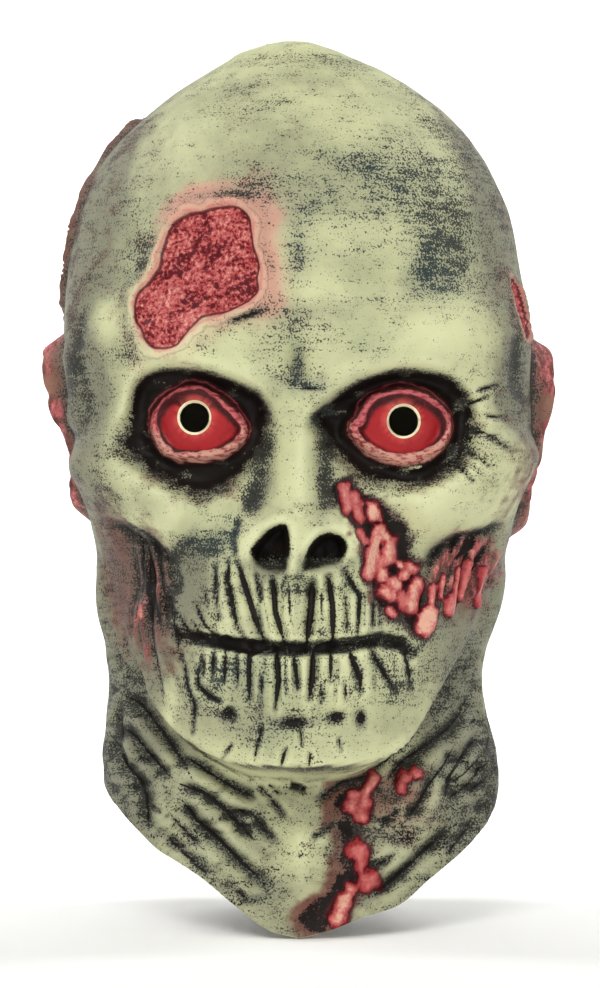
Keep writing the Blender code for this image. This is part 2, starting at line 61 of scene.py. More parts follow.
class Tone(Enum):
    """Paints and raw stock of the mask, as sRGB hex values."""

    BONE = "CFD1A1"
    MOSS = "A8AD85"
    # Pale of rubbed vinyl, also laid as painted highlight.
    PALE_RUB_AND_HIGHLIGHT = "DEE0B2"
    # Soot specks, also laid as painted shade.
    SOOT_SPECK_AND_SHADE = "2E2F2A"
    SLATE = "26363A"
    # Black ink, also laid as painted shade in hollows.
    BLACK_INK_AND_SHADE = "150F0C"
    # Dirty wash, also laid as painted shade.
    DIRTY_WASH_AND_SHADE = "797765"
    # Grey veil under the soot specks, also laid as painted shade.
    GREY_VEIL_AND_SHADE = "717265"
    RUST = "6F3D35"
    BLUSH = "D39A88"
    GORE = "4E1118"
    BLOOD = "8A2229"
    CRIMSON = "9E3237"
    ROSE = "CE726C"
    # Peach of raw flesh, also laid on the tops of lumps as painted highlight.
    PEACH_AND_HIGHLIGHT = "E4B59B"
    LID = "C9666A"
    LID_PALE = "DDAE98"
    EYE = "AA2428"
    EYE_PALE = "DE625A"
    # Dark maroon of the eyes, also laid as painted shadow of the lids.
    EYE_DARK_AND_SHADOW = "3A0D10"
    RAW = "FFF2CC"
    # Darker than the cream stock, as painted shade of the dark inside.
    INSIDE_SHADE = "6F6A5B"
    PAPER = "FAFAF8"
    PAPER_SHADE = "F0F0EE"


def linear(tone: Tone) -> tuple[float, float, float, float]:
    """Turn a tone's sRGB hex value into linear colour.

    Args:
        tone: The paint or stock.

    Returns:
        Linear red, green, blue and an alpha of 1.
    """
    channels = [int(tone.value[i:i + 2], 16) / 255.0 for i in (0, 2, 4)]
    curved = [c / 12.92 if c <= 0.04045 else ((c + 0.055) / 1.055) ** 2.4 for c in channels]
    return (curved[0], curved[1], curved[2], 1.0)


def smooth_step(low: float, high: float, value: np.ndarray) -> np.ndarray:
    """Ease from 0 at the low value to 1 at the high one."""
    share = np.clip((value - low) / (high - low), 0.0, 1.0)
    return share * share * (3.0 - 2.0 * share)


def mix(first: object, second: object, share: object) -> np.ndarray:
    """Blend two values."""
    return first + (second - first) * share


def smooth_column(places: np.ndarray, values: np.ndarray, at: np.ndarray) -> np.ndarray:
    """Read a smooth curve drawn through rows of a table.

    Args:
        places: Where the rows lie, rising.
        values: What the rows hold.
        at: Where the curve is read.

    Returns:
        The curve's values.
    """
    places = np.asarray(places, dtype=float)
    values = np.asarray(values, dtype=float)
    slopes = np.gradient(values, places)
    at = np.clip(at, places[0], places[-1])
    low = np.clip(np.searchsorted(places, at) - 1, 0, len(places) - 2)
    span = places[low + 1] - places[low]
    t = (at - places[low]) / span
    start = (2 * t**3 - 3 * t**2 + 1) * values[low] + (t**3 - 2 * t**2 + t) * span * slopes[low]
    end = (3 * t**2 - 2 * t**3) * values[low + 1] + (t**3 - t**2) * span * slopes[low + 1]
    return start + end


def read_table(table: Table, column: int, at: np.ndarray) -> np.ndarray:
    """Read a smooth curve drawn through one column of a table, by its first column."""
    rows = np.array(table)
    return smooth_column(rows[:, 0], rows[:, column], at)


def bell(value: np.ndarray, reach: float = 1.0) -> np.ndarray:
    """Bell curve, 1 at a value of 0 and fading past the reach on either side."""
    return np.exp(-((value / reach) ** 2))


def path_distance(place: np.ndarray, points: np.ndarray) -> tuple[np.ndarray, np.ndarray]:
    """Measure from places to a bent path.

    Args:
        place: Places on a plane, in metres.
        points: Points of the path on the same plane.

    Returns:
        The distance, and the share of the path's length at the nearest point.
    """
    steps = np.linalg.norm(np.diff(points, axis=0), axis=1)
    before = np.concatenate([[0.0], np.cumsum(steps)])
    best = np.full(len(place), 1e9)
    along = np.zeros(len(place))
    for start, end, done, step in zip(points[:-1], points[1:], before, steps):
        share = np.clip((place - start) @ (end - start) / step**2, 0.0, 1.0)
        away = np.linalg.norm(place - start - share[:, None] * (end - start), axis=1)
        closer = away < best
        best = np.where(closer, away, best)
        along = np.where(closer, (done + share * step) / before[-1], along)
    return best, along


def depth_inside(place: np.ndarray, corners: np.ndarray, extra: int = 5) -> np.ndarray:
    """Measure how deep places lie inside a closed outline with curved corners.

    Args:
        place: Places on a plane, in metres.
        corners: Points that the outline passes through.
        extra: Steps between one point and the next.

    Returns:
        The distance to the outline, positive inside it.
    """
    count = len(corners)
    rows = np.arange(-2, count + 3)
    at = np.arange(count * extra) / extra
    line = np.stack([smooth_column(rows, corners[rows % count, i], at) for i in (0, 1)], axis=1)
    away, _ = path_distance(place, np.vstack([line, line[:1]]))
    inside = np.zeros(len(place), dtype=bool)
    for (ax, ay), (bx, by) in zip(line, np.roll(line, -1, axis=0)):
        if ay == by:
            continue
        crosses = (ay > place[:, 1]) != (by > place[:, 1])
        inside ^= crosses & (place[:, 0] < (bx - ax) * (place[:, 1] - ay) / (by - ay) + ax)
    return np.where(inside, away, -away)


def grain(points: np.ndarray, size: float, seed: int = 0, octaves: int = 2) -> np.ndarray:
    """Soft random field over points, about -1 to 1, the same in every run.

    Args:
        points: Points in metres.
        size: Width of one lump of the field, in metres.
        seed: Number that gives a different field.
        octaves: Layers, each half as wide and half as strong as the last.

    Returns:
        One value for each point.
    """
    total = np.zeros(len(points))
    for octave in range(octaves):
        at = points * 2.0**octave / size + 17.3 * (seed + octave)
        cell = np.floor(at)
        share = at - cell
        share = share * share * (3.0 - 2.0 * share)
        layer = np.zeros(len(points))
        for corner in range(8):
            step = np.array([corner & 1, corner >> 1 & 1, corner >> 2])
            mixed = (cell + step).astype(np.int64) @ np.array([374761393, 668265263, 2147483647])
            mixed = (mixed ^ (seed * 974634777 + octave * 15485863)) & 0xFFFFFFFF
            mixed = ((mixed ^ (mixed >> 15)) * 2246822519) & 0xFFFFFFFF
            mixed = ((mixed ^ (mixed >> 13)) * 3266489917) & 0xFFFFFFFF
            value = (mixed ^ (mixed >> 16)) / 0x7FFFFFFF - 1.0
            layer += value * np.prod(np.where(step, share, 1.0 - share), axis=1)
        total += layer * 1.6 * 0.5**octave
    return total


def turned(degrees: float) -> np.ndarray:
    """Matrix that turns a field about the axis from front to back."""
    turn = math.radians(degrees)
    return np.array([[math.cos(turn), 0.0, -math.sin(turn)], [0.0, 1.0, 0.0],
                     [math.sin(turn), 0.0, math.cos(turn)]])


@dataclass(frozen=True)
class Measures:
    """Sizes that the sculpt shares with the CAD shell, in metres."""

    height: float = 0.380
    half_width: float = 0.100
    front: float = 0.095
    back: float = 0.118
    neck_half_width: float = 0.086
    neck_front: float = 0.060
    wall: float = 0.0022
    relief: float = 0.010
    pupil_bore: float = 0.0123
    pupil_ring: float = 0.0143


SIZES = Measures()


class Coat:
    """Paint masks over the skin, one value for each place.

    Those in mm are signed distances, so that the shader can draw a crisp edge between two
    vertices; the others are shares of a full coat.
    """

    in_mm = ("cut", "eye_in", "eye_far", "gash_in")
    # The soot, ink and wash masks also carry painted shade, and bare also carries painted
    # highlight.
    names = ("soot_and_shade", "ink_and_shade", "wash_and_shade", "rust", "blush", "sore", "bare", "slate", "knob", "tone",
             *in_mm)
    far_away = 30.0

    def __init__(self, count: int) -> None:
        """Start with bare vinyl.

        Args:
            count: How many places there are.
        """
        self.masks = {name: np.zeros(count) for name in self.names}
        for name in self.in_mm:
            self.masks[name] -= self.far_away
        self.masks["eye_far"] *= -1.0
        self.masks["knob"] -= 1.0

    def add(self, name: str, amount: np.ndarray) -> None:
        """Lay more of one paint on."""
        self.masks[name] = np.clip(self.masks[name] + amount, 0.0, 1.5)

    def wipe(self, name: str, share: np.ndarray) -> None:
        """Wipe a share of one paint away."""
        self.masks[name] = self.masks[name] * (1.0 - np.clip(share, 0.0, 1.0))

    def reach(self, name: str, metres: np.ndarray, where: np.ndarray) -> None:
        """Widen a crisp shape by another one.

        Args:
            name: One of the masks in mm.
            metres: Signed distance, positive inside the shape.
            where: Places that the shape belongs to.
        """
        value = np.clip(metres * 1000, -self.far_away, self.far_away)
        value = np.where(where, value, -self.far_away)
        self.masks[name] = np.maximum(self.masks[name], value)


class Ground(Coat):
    """Places on the bare skull, with the relief and the paint laid on them so far."""

    # Height of the swell beside a pressed line, and its distance in reaches.
    swell = 0.4
    swell_at = 2.2

    def __init__(self, base: np.ndarray, jaw: np.ndarray) -> None:
        """Keep the places.

        Args:
            base: Points of the bare skull, in metres.
            jaw: Share dropped where the jaw turns under, below each point.
        """
        super().__init__(len(base))
        self.relief = np.zeros(len(base))
        self.base = base
        self.jaw = jaw
        self.drop = SIZES.wall - base[:, 2]
        self.place = np.stack([base[:, 0], self.drop], axis=1)
        self.flank = np.stack([base[:, 1], self.drop], axis=1)
        self.x = base[:, 0] / SIZES.half_width
        self.down = self.drop / SIZES.height
        self.front = smooth_step(0.12, -0.22, base[:, 1] / SIZES.front)
        self.face = self.front > 0.5
        self.round = np.abs(np.arctan2(base[:, 0], -base[:, 1]))

    def metres(self, path: Path) -> np.ndarray:
        """Turn a path into points in metres."""
        return np.array(path).reshape(-1, 2) / 1000.0 * (SIZES.half_width, SIZES.height)

    def paint(self, name: str, amount: np.ndarray) -> None:
        """Lay more of one paint on the face alone."""
        self.add(name, amount * self.face)

    def rub_and_highlight(self, share: np.ndarray, bare: float) -> None:
        """Rub soot and wash away, down to pale vinyl, which also stands for painted highlight.

        Args:
            share: How much is rubbed away.
            bare: How pale the place then is, at a full share.
        """
        self.wipe("soot_and_shade", share)
        self.wipe("wash_and_shade", share)
        self.add("bare", bare * share)

    def lump(self, across: float, dropped: float, reach_across: float, reach_down: float,
             tilt: float = 0.0) -> np.ndarray:
        """Rounded swelling: 1 at its middle, fading past its reach.

        Args:
            across: Middle, as a share of the half width.
            dropped: Middle, as a share of the height.
            reach_across: Reach as a share of the half width.
            reach_down: Reach downwards, also as a share of the half width.
            tilt: Degrees that the swelling is turned.

        Returns:
            The swelling.
        """
        turn = math.radians(tilt)
        x = self.place[:, 0] - across * SIZES.half_width
        z = self.place[:, 1] - dropped * SIZES.height
        u = (x * math.cos(turn) + z * math.sin(turn)) / (reach_across * SIZES.half_width)
        v = (z * math.cos(turn) - x * math.sin(turn)) / (reach_down * SIZES.half_width)
        return np.exp(-(u * u + v * v))

    def ridge(self, path: Path, reach: float) -> np.ndarray:
        """Raised line that runs out softly at both ends.

        Args:
            path: The line.
            reach: Distance at which it has faded, as a share of the half width.

        Returns:
            The ridge, 1 at its highest.
        """
        away, along = path_distance(self.place, self.metres(path))
        ends = smooth_step(0.0, 0.2, along) * smooth_step(1.0, 0.8, along)
        return bell(away, reach * SIZES.half_width) * mix(0.15, 1.0, ends)

    def crease(self, path: Path, reach: float) -> np.ndarray:
        """Pressed line with a low swell on either side.

        Args:
            path: The line.
            reach: Distance at which the dip has faded, as a share of the half width.

        Returns:
            The crease, -1 at its deepest.
        """
        away, along = path_distance(self.place, self.metres(path))
        ends = smooth_step(0.0, 0.15, along) * smooth_step(1.0, 0.75, along)
        share = away / (reach * SIZES.half_width)
        swell = self.swell * bell(share - self.swell_at)
        return (swell - bell(share)) * ends

    def slash(self, path: Path, half_width: float) -> np.ndarray:
        """Signed distance into a thin cut that tapers to both ends.

        Args:
            path: The cut's middle line.
            half_width: Half its greatest width, in metres.

        Returns:
            Metres, positive inside the cut.
        """
        away, along = path_distance(self.place, self.metres(path))
        taper = smooth_step(-0.05, 0.22, along) * smooth_step(1.05, 0.60, along)
        return half_width * mix(0.25, 1.0, taper) - away

    def inside(self, outline: Path) -> np.ndarray:
        """Depth inside a closed outline of the face, in metres."""
        return depth_inside(self.place, self.metres(outline))


@dataclass
class Skull:
    """Bare head and neck under the sculpt."""

    # Share dropped, half width, front depth, back depth, squareness.
    sections: Table = (
        (0.0, 0.0, 0.0, 0.0, 2.0), (0.018, 0.275, 0.35, 0.3, 2.0), (0.055, 0.52, 0.57, 0.51, 2.0),
        (0.11, 0.76, 0.77, 0.73, 2.0), (0.165, 0.885, 0.87, 0.845, 2.05),
        (0.24, 0.965, 0.95, 0.935, 2.1), (0.315, 1.0, 1.0, 0.99, 2.2),
        (0.375, 0.99, 1.0, 1.0, 2.3), (0.43, 0.98, 0.975, 0.975, 2.3),
        (0.49, 0.95, 0.945, 0.915, 2.25), (0.57, 0.91, 0.93, 0.82, 2.1),
        (0.65, 0.84, 0.96, 0.745, 2.0), (0.72, 0.78, 0.985, 0.71, 2.0),
        (0.78, 0.74, 0.98, 0.7, 1.95), (0.825, 0.71, 0.95, 0.7, 1.95),
        (1.0, 0.66, 0.85, 0.74, 2.0),
    )
    # Share dropped, half width, front depth.
    neck: Table = (
        (0.5, 1.04, 0.95), (0.565, 1.045, 0.93), (0.64, 1.035, 0.92), (0.695, 0.965, 0.92),
        (0.73, 0.945, 0.93), (0.77, 0.965, 0.95), (0.805, 0.99, 0.97), (0.84, 1.0, 1.0),
        (0.9, 1.0, 1.07), (1.0, 1.02, 1.2),
    )
    # Share dropped, sideways lean as a share of the half width.
    lean: Table = (
        (0.0, -0.03), (0.06, -0.008), (0.12, -0.02), (0.3, -0.02), (0.38, 0.0), (0.6, 0.0),
        (0.7, -0.018), (0.76, -0.02), (0.82, 0.0), (1.0, 0.0),
    )
    # Degrees round from the nose, share dropped where the jaw turns under.
    jaw: Table = (
        (0, 0.82), (20, 0.815), (35, 0.79), (50, 0.75), (65, 0.69), (80, 0.62), (95, 0.57),
        (120, 0.55), (180, 0.55),
    )
    # Degrees round from the nose, share dropped at the trimmed edge, left and right.
    rim: Table = (
        (0, 1.0, 1.0), (11, 0.991, 0.991), (20, 0.972, 0.98), (35, 0.938, 0.965),
        (45, 0.921, 0.942), (53, 0.909, 0.926), (61, 0.891, 0.91), (68, 0.876, 0.895),
        (76, 0.861, 0.879), (86, 0.845, 0.85), (120, 0.845, 0.845), (180, 0.855, 0.855),
    )

    neck_squareness: float = 2.05
    # Stands in for a width or depth of 0 at the very crown.
    least: float = 1e-6

    def section_radius(self, turn: np.ndarray, half_width: np.ndarray, depth: np.ndarray,
                       squareness: object) -> np.ndarray:
        """Distance from the axis to a rounded section.

        Args:
            turn: Angle from the nose.
            half_width: Half width of the section, in metres.
            depth: Its depth on that side, in metres.
            squareness: 2 for an ellipse, more for a squarer section.

        Returns:
            Metres from the axis.
        """
        across = (np.abs(np.sin(turn)) / half_width) ** squareness
        along = (np.abs(np.cos(turn)) / depth) ** squareness
        return (across + along) ** (-1.0 / squareness)

    def jaw_drop(self, turn: np.ndarray) -> np.ndarray:
        """Share dropped where the jaw turns under, by angle from the nose."""
        return read_table(self.jaw, 1, np.abs(np.degrees(turn)))

    def surface(self, turn: np.ndarray, root: np.ndarray) -> np.ndarray:
        """Points of the bare skull.

        Args:
            turn: Angle from the nose.
            root: Square root of the share dropped from the crown.

        Returns:
            Points in metres.
        """
        drop = root**2
        rows = np.array(self.sections)
        roots = np.sqrt(rows[:, 0])
        column = [smooth_column(roots, rows[:, i], root) for i in range(1, 5)]
        width = np.maximum(column[0], self.least) * SIZES.half_width
        back = np.maximum(column[2], self.least) * SIZES.back
        facing = np.cos(turn) > 0
        depth = np.where(facing, np.maximum(column[1], self.least) * SIZES.front, back)
        face = self.section_radius(turn, width, depth, column[3])

        neck_width = read_table(self.neck, 1, drop) * SIZES.neck_half_width
        neck_front = read_table(self.neck, 2, drop) * SIZES.neck_front
        neck_depth = np.where(facing, neck_front, back)
        throat = self.section_radius(turn, neck_width, neck_depth, self.neck_squareness)

        jaw = self.jaw_drop(turn)
        soft = mix(0.014, 0.034, smooth_step(15, 75, np.abs(np.degrees(turn))))
        radius = mix(face, throat, smooth_step(jaw - soft, jaw + soft, drop))
        lean = read_table(self.lean, 1, drop) * SIZES.half_width
        return np.stack([lean + radius * np.sin(turn), -radius * np.cos(turn),
                         SIZES.wall - drop * SIZES.height], axis=1)

    def rim_root(self, turn: np.ndarray) -> np.ndarray:
        """Find the trimmed edge.

        Args:
            turn: Angle from the nose.

        Returns:
            Square root of the share dropped at the edge.
        """
        left, right = (read_table(self.rim, i, np.abs(np.degrees(turn))) for i in (1, 2))
        return np.sqrt(np.where(turn < 0, left, right))


@dataclass
class Bones:
    """Brow, cheekbones, nose, muzzle, chin and the hollows between them."""

    # Place across, share dropped, reach across, reach down, tilt, height.
    forms: Table = (
        (0.0, 0.25, 0.46, 0.4, 0, 0.3), (0.52, 0.346, 0.34, 0.15, -4, 0.8),
        (-0.48, 0.351, 0.33, 0.15, 4, 0.75), (0.18, 0.384, 0.18, 0.1, -20, 0.7),
        (-0.18, 0.386, 0.17, 0.1, 20, 0.7), (-0.01, 0.378, 0.04, 0.11, 0, -0.45),
        (0.0, 0.64, 0.46, 0.22, 0, 1.0), (0.0, 0.724, 0.44, 0.17, 0, 0.75),
        (0.02, 0.79, 0.34, 0.14, 0, 0.6), (-0.2, 0.56, 0.07, 0.12, 0, 0.7),
        (0.21, 0.558, 0.07, 0.12, 0, 0.7), (-0.66, 0.59, 0.22, 0.26, 12, -1.4),
        (0.62, 0.595, 0.2, 0.24, -12, -1.2), (-0.6, 0.72, 0.16, 0.2, 10, -0.3),
        (0.58, 0.725, 0.16, 0.18, -10, -0.25), (-0.43, 0.575, 0.1, 0.1, 20, -0.3),
        (0.0, 0.25, 0.05, 0.16, 0, -0.12),
    )
    # Reach, height, then the path.
    ridges: Table = (
        (0.15, 0.95, -970, 455, -800, 490, -620, 525, -420, 550),
        (0.15, 0.95, 970, 435, 860, 475, 660, 518, 420, 545),
        (0.07, 0.35, -580, 600, -540, 650, -550, 700),
        (0.06, 0.4, -950, 340, -920, 400, -950, 450),
        # Cheekbones' lower edges, left and right, darkened below as painted shade.
        (0.035, -0.45, -870, 548, -740, 560, -640, 572, -550, 588, -515, 612, -530, 640),
        (0.032, -0.42, 540, 600, 564, 586, 608, 571, 703, 563, 813, 557, 900, 545),
        # Overhang of the brows, darkened below as painted shadow, then the frown between them.
        (0.04, -0.35, -155, 425, -265, 400, -408, 388, -571, 390, -674, 412),
        (0.04, -0.35, 122, 420, 245, 396, 408, 386, 612, 392, 735, 412),
        (0.034, -0.1, -140, 386, -50, 393, 50, 394, 135, 386),
        # Groove over the right brow and beside the left one.
        (0.09, -0.16, 0, 315, 207, 298, 414, 293, 787, 271),
        # Bridge of the nose, its wings, the drip and the hollows beside it.
        (0.036, 0.18, 0, 425, 4, 490, -5, 545), (0.024, 0.3, -20, 570, -28, 588, -33, 604),
        (0.038, 0.25, -80, 530, -150, 548, -215, 575, -225, 595),
        (0.038, 0.25, 80, 530, 150, 545, 215, 566, 225, 585),
        (0.055, -0.35, -130, 440, -150, 500, -235, 545),
        (0.05, -0.3, 100, 450, 100, 500, 165, 535),
        (0.02, -0.25, -240, 535, -268, 563, -258, 595),
        # Bags under the eyes.
        (0.028, -0.14, -600, 500, -420, 522, -250, 505),
        (0.028, -0.14, 200, 507, 400, 514, 620, 498),
        # Dark lines, partly painted shade, where the face turns into the temples.
        (0.026, -0.12, -896, 296, -913, 342, -900, 372, -870, 407, -883, 427, -921, 446),
        (0.028, -0.18, 896, 331, 891, 372, 896, 389, 939, 411, 994, 404),
        # Tendons of the throat and the strand in the left cheek.
        (0.085, 0.4, -560, 800, -330, 870, -120, 950),
        (0.085, 0.35, 640, 800, 480, 870, 330, 930), (0.07, 0.35, 0, 870, 0, 930, -10, 995),
        (0.1, -0.35, -160, 850, -120, 920, -60, 975),
        (0.026, 0.45, -690, 580, -670, 626, -680, 665),
        (0.03, 0.35, -600, 610, -590, 650, -560, 690),
        # Fold over the crown.
        (0.05, 0.16, -326, 28, -61, 6, 122, 18),
    )
    # The nose: share dropped, half width, height.
    nose: Table = (
        (0.38, 0.095, 0.0), (0.42, 0.105, 0.45), (0.47, 0.13, 0.95), (0.52, 0.17, 1.5),
        (0.555, 0.2, 1.85), (0.578, 0.205, 1.7), (0.6, 0.2, 0.8), (0.62, 0.2, 0.0),
    )

    # A groove this deep, and this narrow a share of the half width, is inked in full; the soot and
    # ink along pressed lines are partly painted shade under the brows, cheekbones and nose.
    full_depth: float = 0.40
    narrow: float = 0.035

    def carve(self, ground: Ground) -> None:
        """Raise the bones and sink the hollows.

        Args:
            ground: Where to carve and paint.
        """
        for *place, height in self.forms:
            ground.relief += height * ground.lump(*place)
        for reach, height, *path in self.ridges:
            line = ground.ridge(path, reach)
            ground.relief += height * line
            # Pressed lines are darkened with soot and ink, partly as painted shade under the
            # overhangs.
            if height < 0:
                press = min(1.0, -height / self.full_depth) * min(1.0, self.narrow / reach)
                ground.paint("soot_and_shade", 0.9 * press * smooth_step(0.15, 1.0, line))
                ground.paint("ink_and_shade", 0.5 * press * smooth_step(0.55, 1.0, line))
        width = read_table(self.nose, 1, ground.down)
        height = np.maximum(read_table(self.nose, 2, ground.down), 0.0)
        ground.relief += height * np.exp(-np.abs(ground.x / width) ** 2.2)


@dataclass
class Eyes:
    """Sunken sockets, swollen lids and the eyeballs cast between them."""

    sockets: tuple[Path, ...] = (
        (-728, 446, -668, 392, -491, 380, -280, 394, -152, 415, -152, 446, -243, 491, -420, 513,
         -619, 491, -718, 468),
        (67, 431, 141, 413, 283, 392, 452, 383, 602, 390, 708, 411, 722, 439, 673, 476, 495, 502,
         283, 498, 163, 470, 92, 448),
    )
    lids: tuple[Path, ...] = (
        (-628, 431, -465, 398, -280, 416, -212, 442, -202, 455, -281, 474, -450, 481, -571, 476,
         -617, 455),
        (174, 448, 284, 410, 441, 396, 583, 406, 650, 438, 632, 464, 497, 492, 341, 481,
         213, 461),
    )
    openings: tuple[Path, ...] = (
        (-592, 438, -550, 416, -450, 406, -351, 416, -280, 436, -258, 448, -337, 464, -436, 468,
         -536, 463),
        (267, 442, 305, 419, 419, 409, 526, 416, 597, 438, 554, 461, 426, 471, 313, 463,
         249, 446),
    )
    pupils: tuple[Path, ...] = ((-436, 432), (428, 436))
    # Height of the ball's middle in relief units, and metres in which it falls by one unit.
    ball_top: float = -0.30
    eyeball_reach: float = 0.0236
    # Run of the slope into the socket, above and below the eye, and of the lid's edge.
    socket_top: float = 0.0035
    socket_edge: float = 0.0065
    lid_edge: float = 0.003

    def carve(self, ground: Ground) -> None:
        """Sink the sockets, swell the lids and round the eyeballs.

        Args:
            ground: Where to carve and paint.
        """
        wrinkle = grain(ground.base * (1.0, 1.0, 2.4), 0.0065, 21)
        for socket, lid, opening, pupil in zip(self.sockets, self.lids, self.openings, self.pupils):
            in_socket = ground.inside(socket)
            in_lid = ground.inside(lid)
            in_opening = ground.inside(opening)
            centre = ground.metres(pupil)[0]
            below = smooth_step(-0.006, 0.004, ground.drop - centre[1])
            slope = mix(self.socket_top, self.socket_edge, below)
            sunk = smooth_step(-1.0, 1.0, in_socket / slope)
            ground.relief = mix(ground.relief, -1.25 + 0.07 * wrinkle, sunk)
            swollen = smooth_step(-self.lid_edge, self.lid_edge, in_lid)
            ground.relief = mix(ground.relief, -0.45 + 0.04 * wrinkle, swollen)
            ground.relief += 0.16 * bell(in_opening + 0.0020, 0.0015)
            ground.relief -= 0.10 * bell(in_opening + 0.0052, 0.0012)
            away = np.linalg.norm(ground.place - centre, axis=1)
            ball = self.ball_top - (away / self.eyeball_reach) ** 2
            ground.relief = mix(ground.relief, ball, smooth_step(-0.0010, 0.0012, in_opening))

            # Black paint fills the socket; its crisp upper edge is painted shadow under the brow,
            # and its lower edge breaks up into specks.
            hollow = smooth_step(mix(-0.0010, -0.0035, below), mix(0.0014, 0.0035, below),
                                 in_socket + 0.0016 * wrinkle * below)
            flecks = 1.0 - 0.70 * smooth_step(0.45, 1.0, wrinkle)
            ground.paint("ink_and_shade", hollow * flecks * smooth_step(-0.0040, -0.0060, in_opening))
            fringe = smooth_step(mix(-0.0030, -0.0100, below), 0.0010, in_socket)
            ground.paint("soot_and_shade", mix(0.35, 0.70, below) * fringe)
            ground.paint("rust", 0.45 * fringe)
            ground.paint("bare", 0.9 * below * smooth_step(-0.0055, -0.0020, in_opening))
            ground.reach("eye_in", in_opening, ground.face)
            far = np.minimum(ground.masks["eye_far"], away * 1000)
            ground.masks["eye_far"] = np.where(ground.face, far, ground.far_away)


@dataclass
class Nose:
    """Rotted nostrils and their raised lips."""

    nostrils: tuple[Path, ...] = (
        (-195, 576, -154, 562, -109, 551, -51, 551, -46, 591, -93, 600, -170, 592),
        (16, 594, 30, 576, 72, 561, 122, 557, 172, 562, 184, 575, 160, 588, 100, 593, 52, 596),
    )
    edge: float = 0.003
    depth: float = 1.4

    def carve(self, ground: Ground) -> None:
        """Sink the nostrils and raise their lips.

        Args:
            ground: Where to carve and paint.
        """
        for outline in self.nostrils:
            inside = ground.inside(outline)
            ground.relief -= self.depth * smooth_step(-0.4, 1.0, inside / self.edge)
            above = smooth_step(0.594, 0.576, ground.down)
            ground.relief += 0.16 * above * bell(inside + 0.0026, 0.0018)
            low = smooth_step(0.574, 0.592, ground.down)
            ground.paint("ink_and_shade", smooth_step(-0.0016, 0.0010, inside) * mix(1.0, 0.28, low))
            ground.paint("soot_and_shade", 0.95 * smooth_step(-0.008, 0.0, inside) * low)
            ground.paint("wash_and_shade", 0.60 * smooth_step(-0.008, 0.0, inside) * low)
        # The tip hangs between the nostrils as a small pale drop.
        drop = ground.lump(-0.030, 0.590, 0.030, 0.055) * ground.face
        ground.rub_and_highlight(drop, 0.6)
        ground.relief += 0.14 * drop


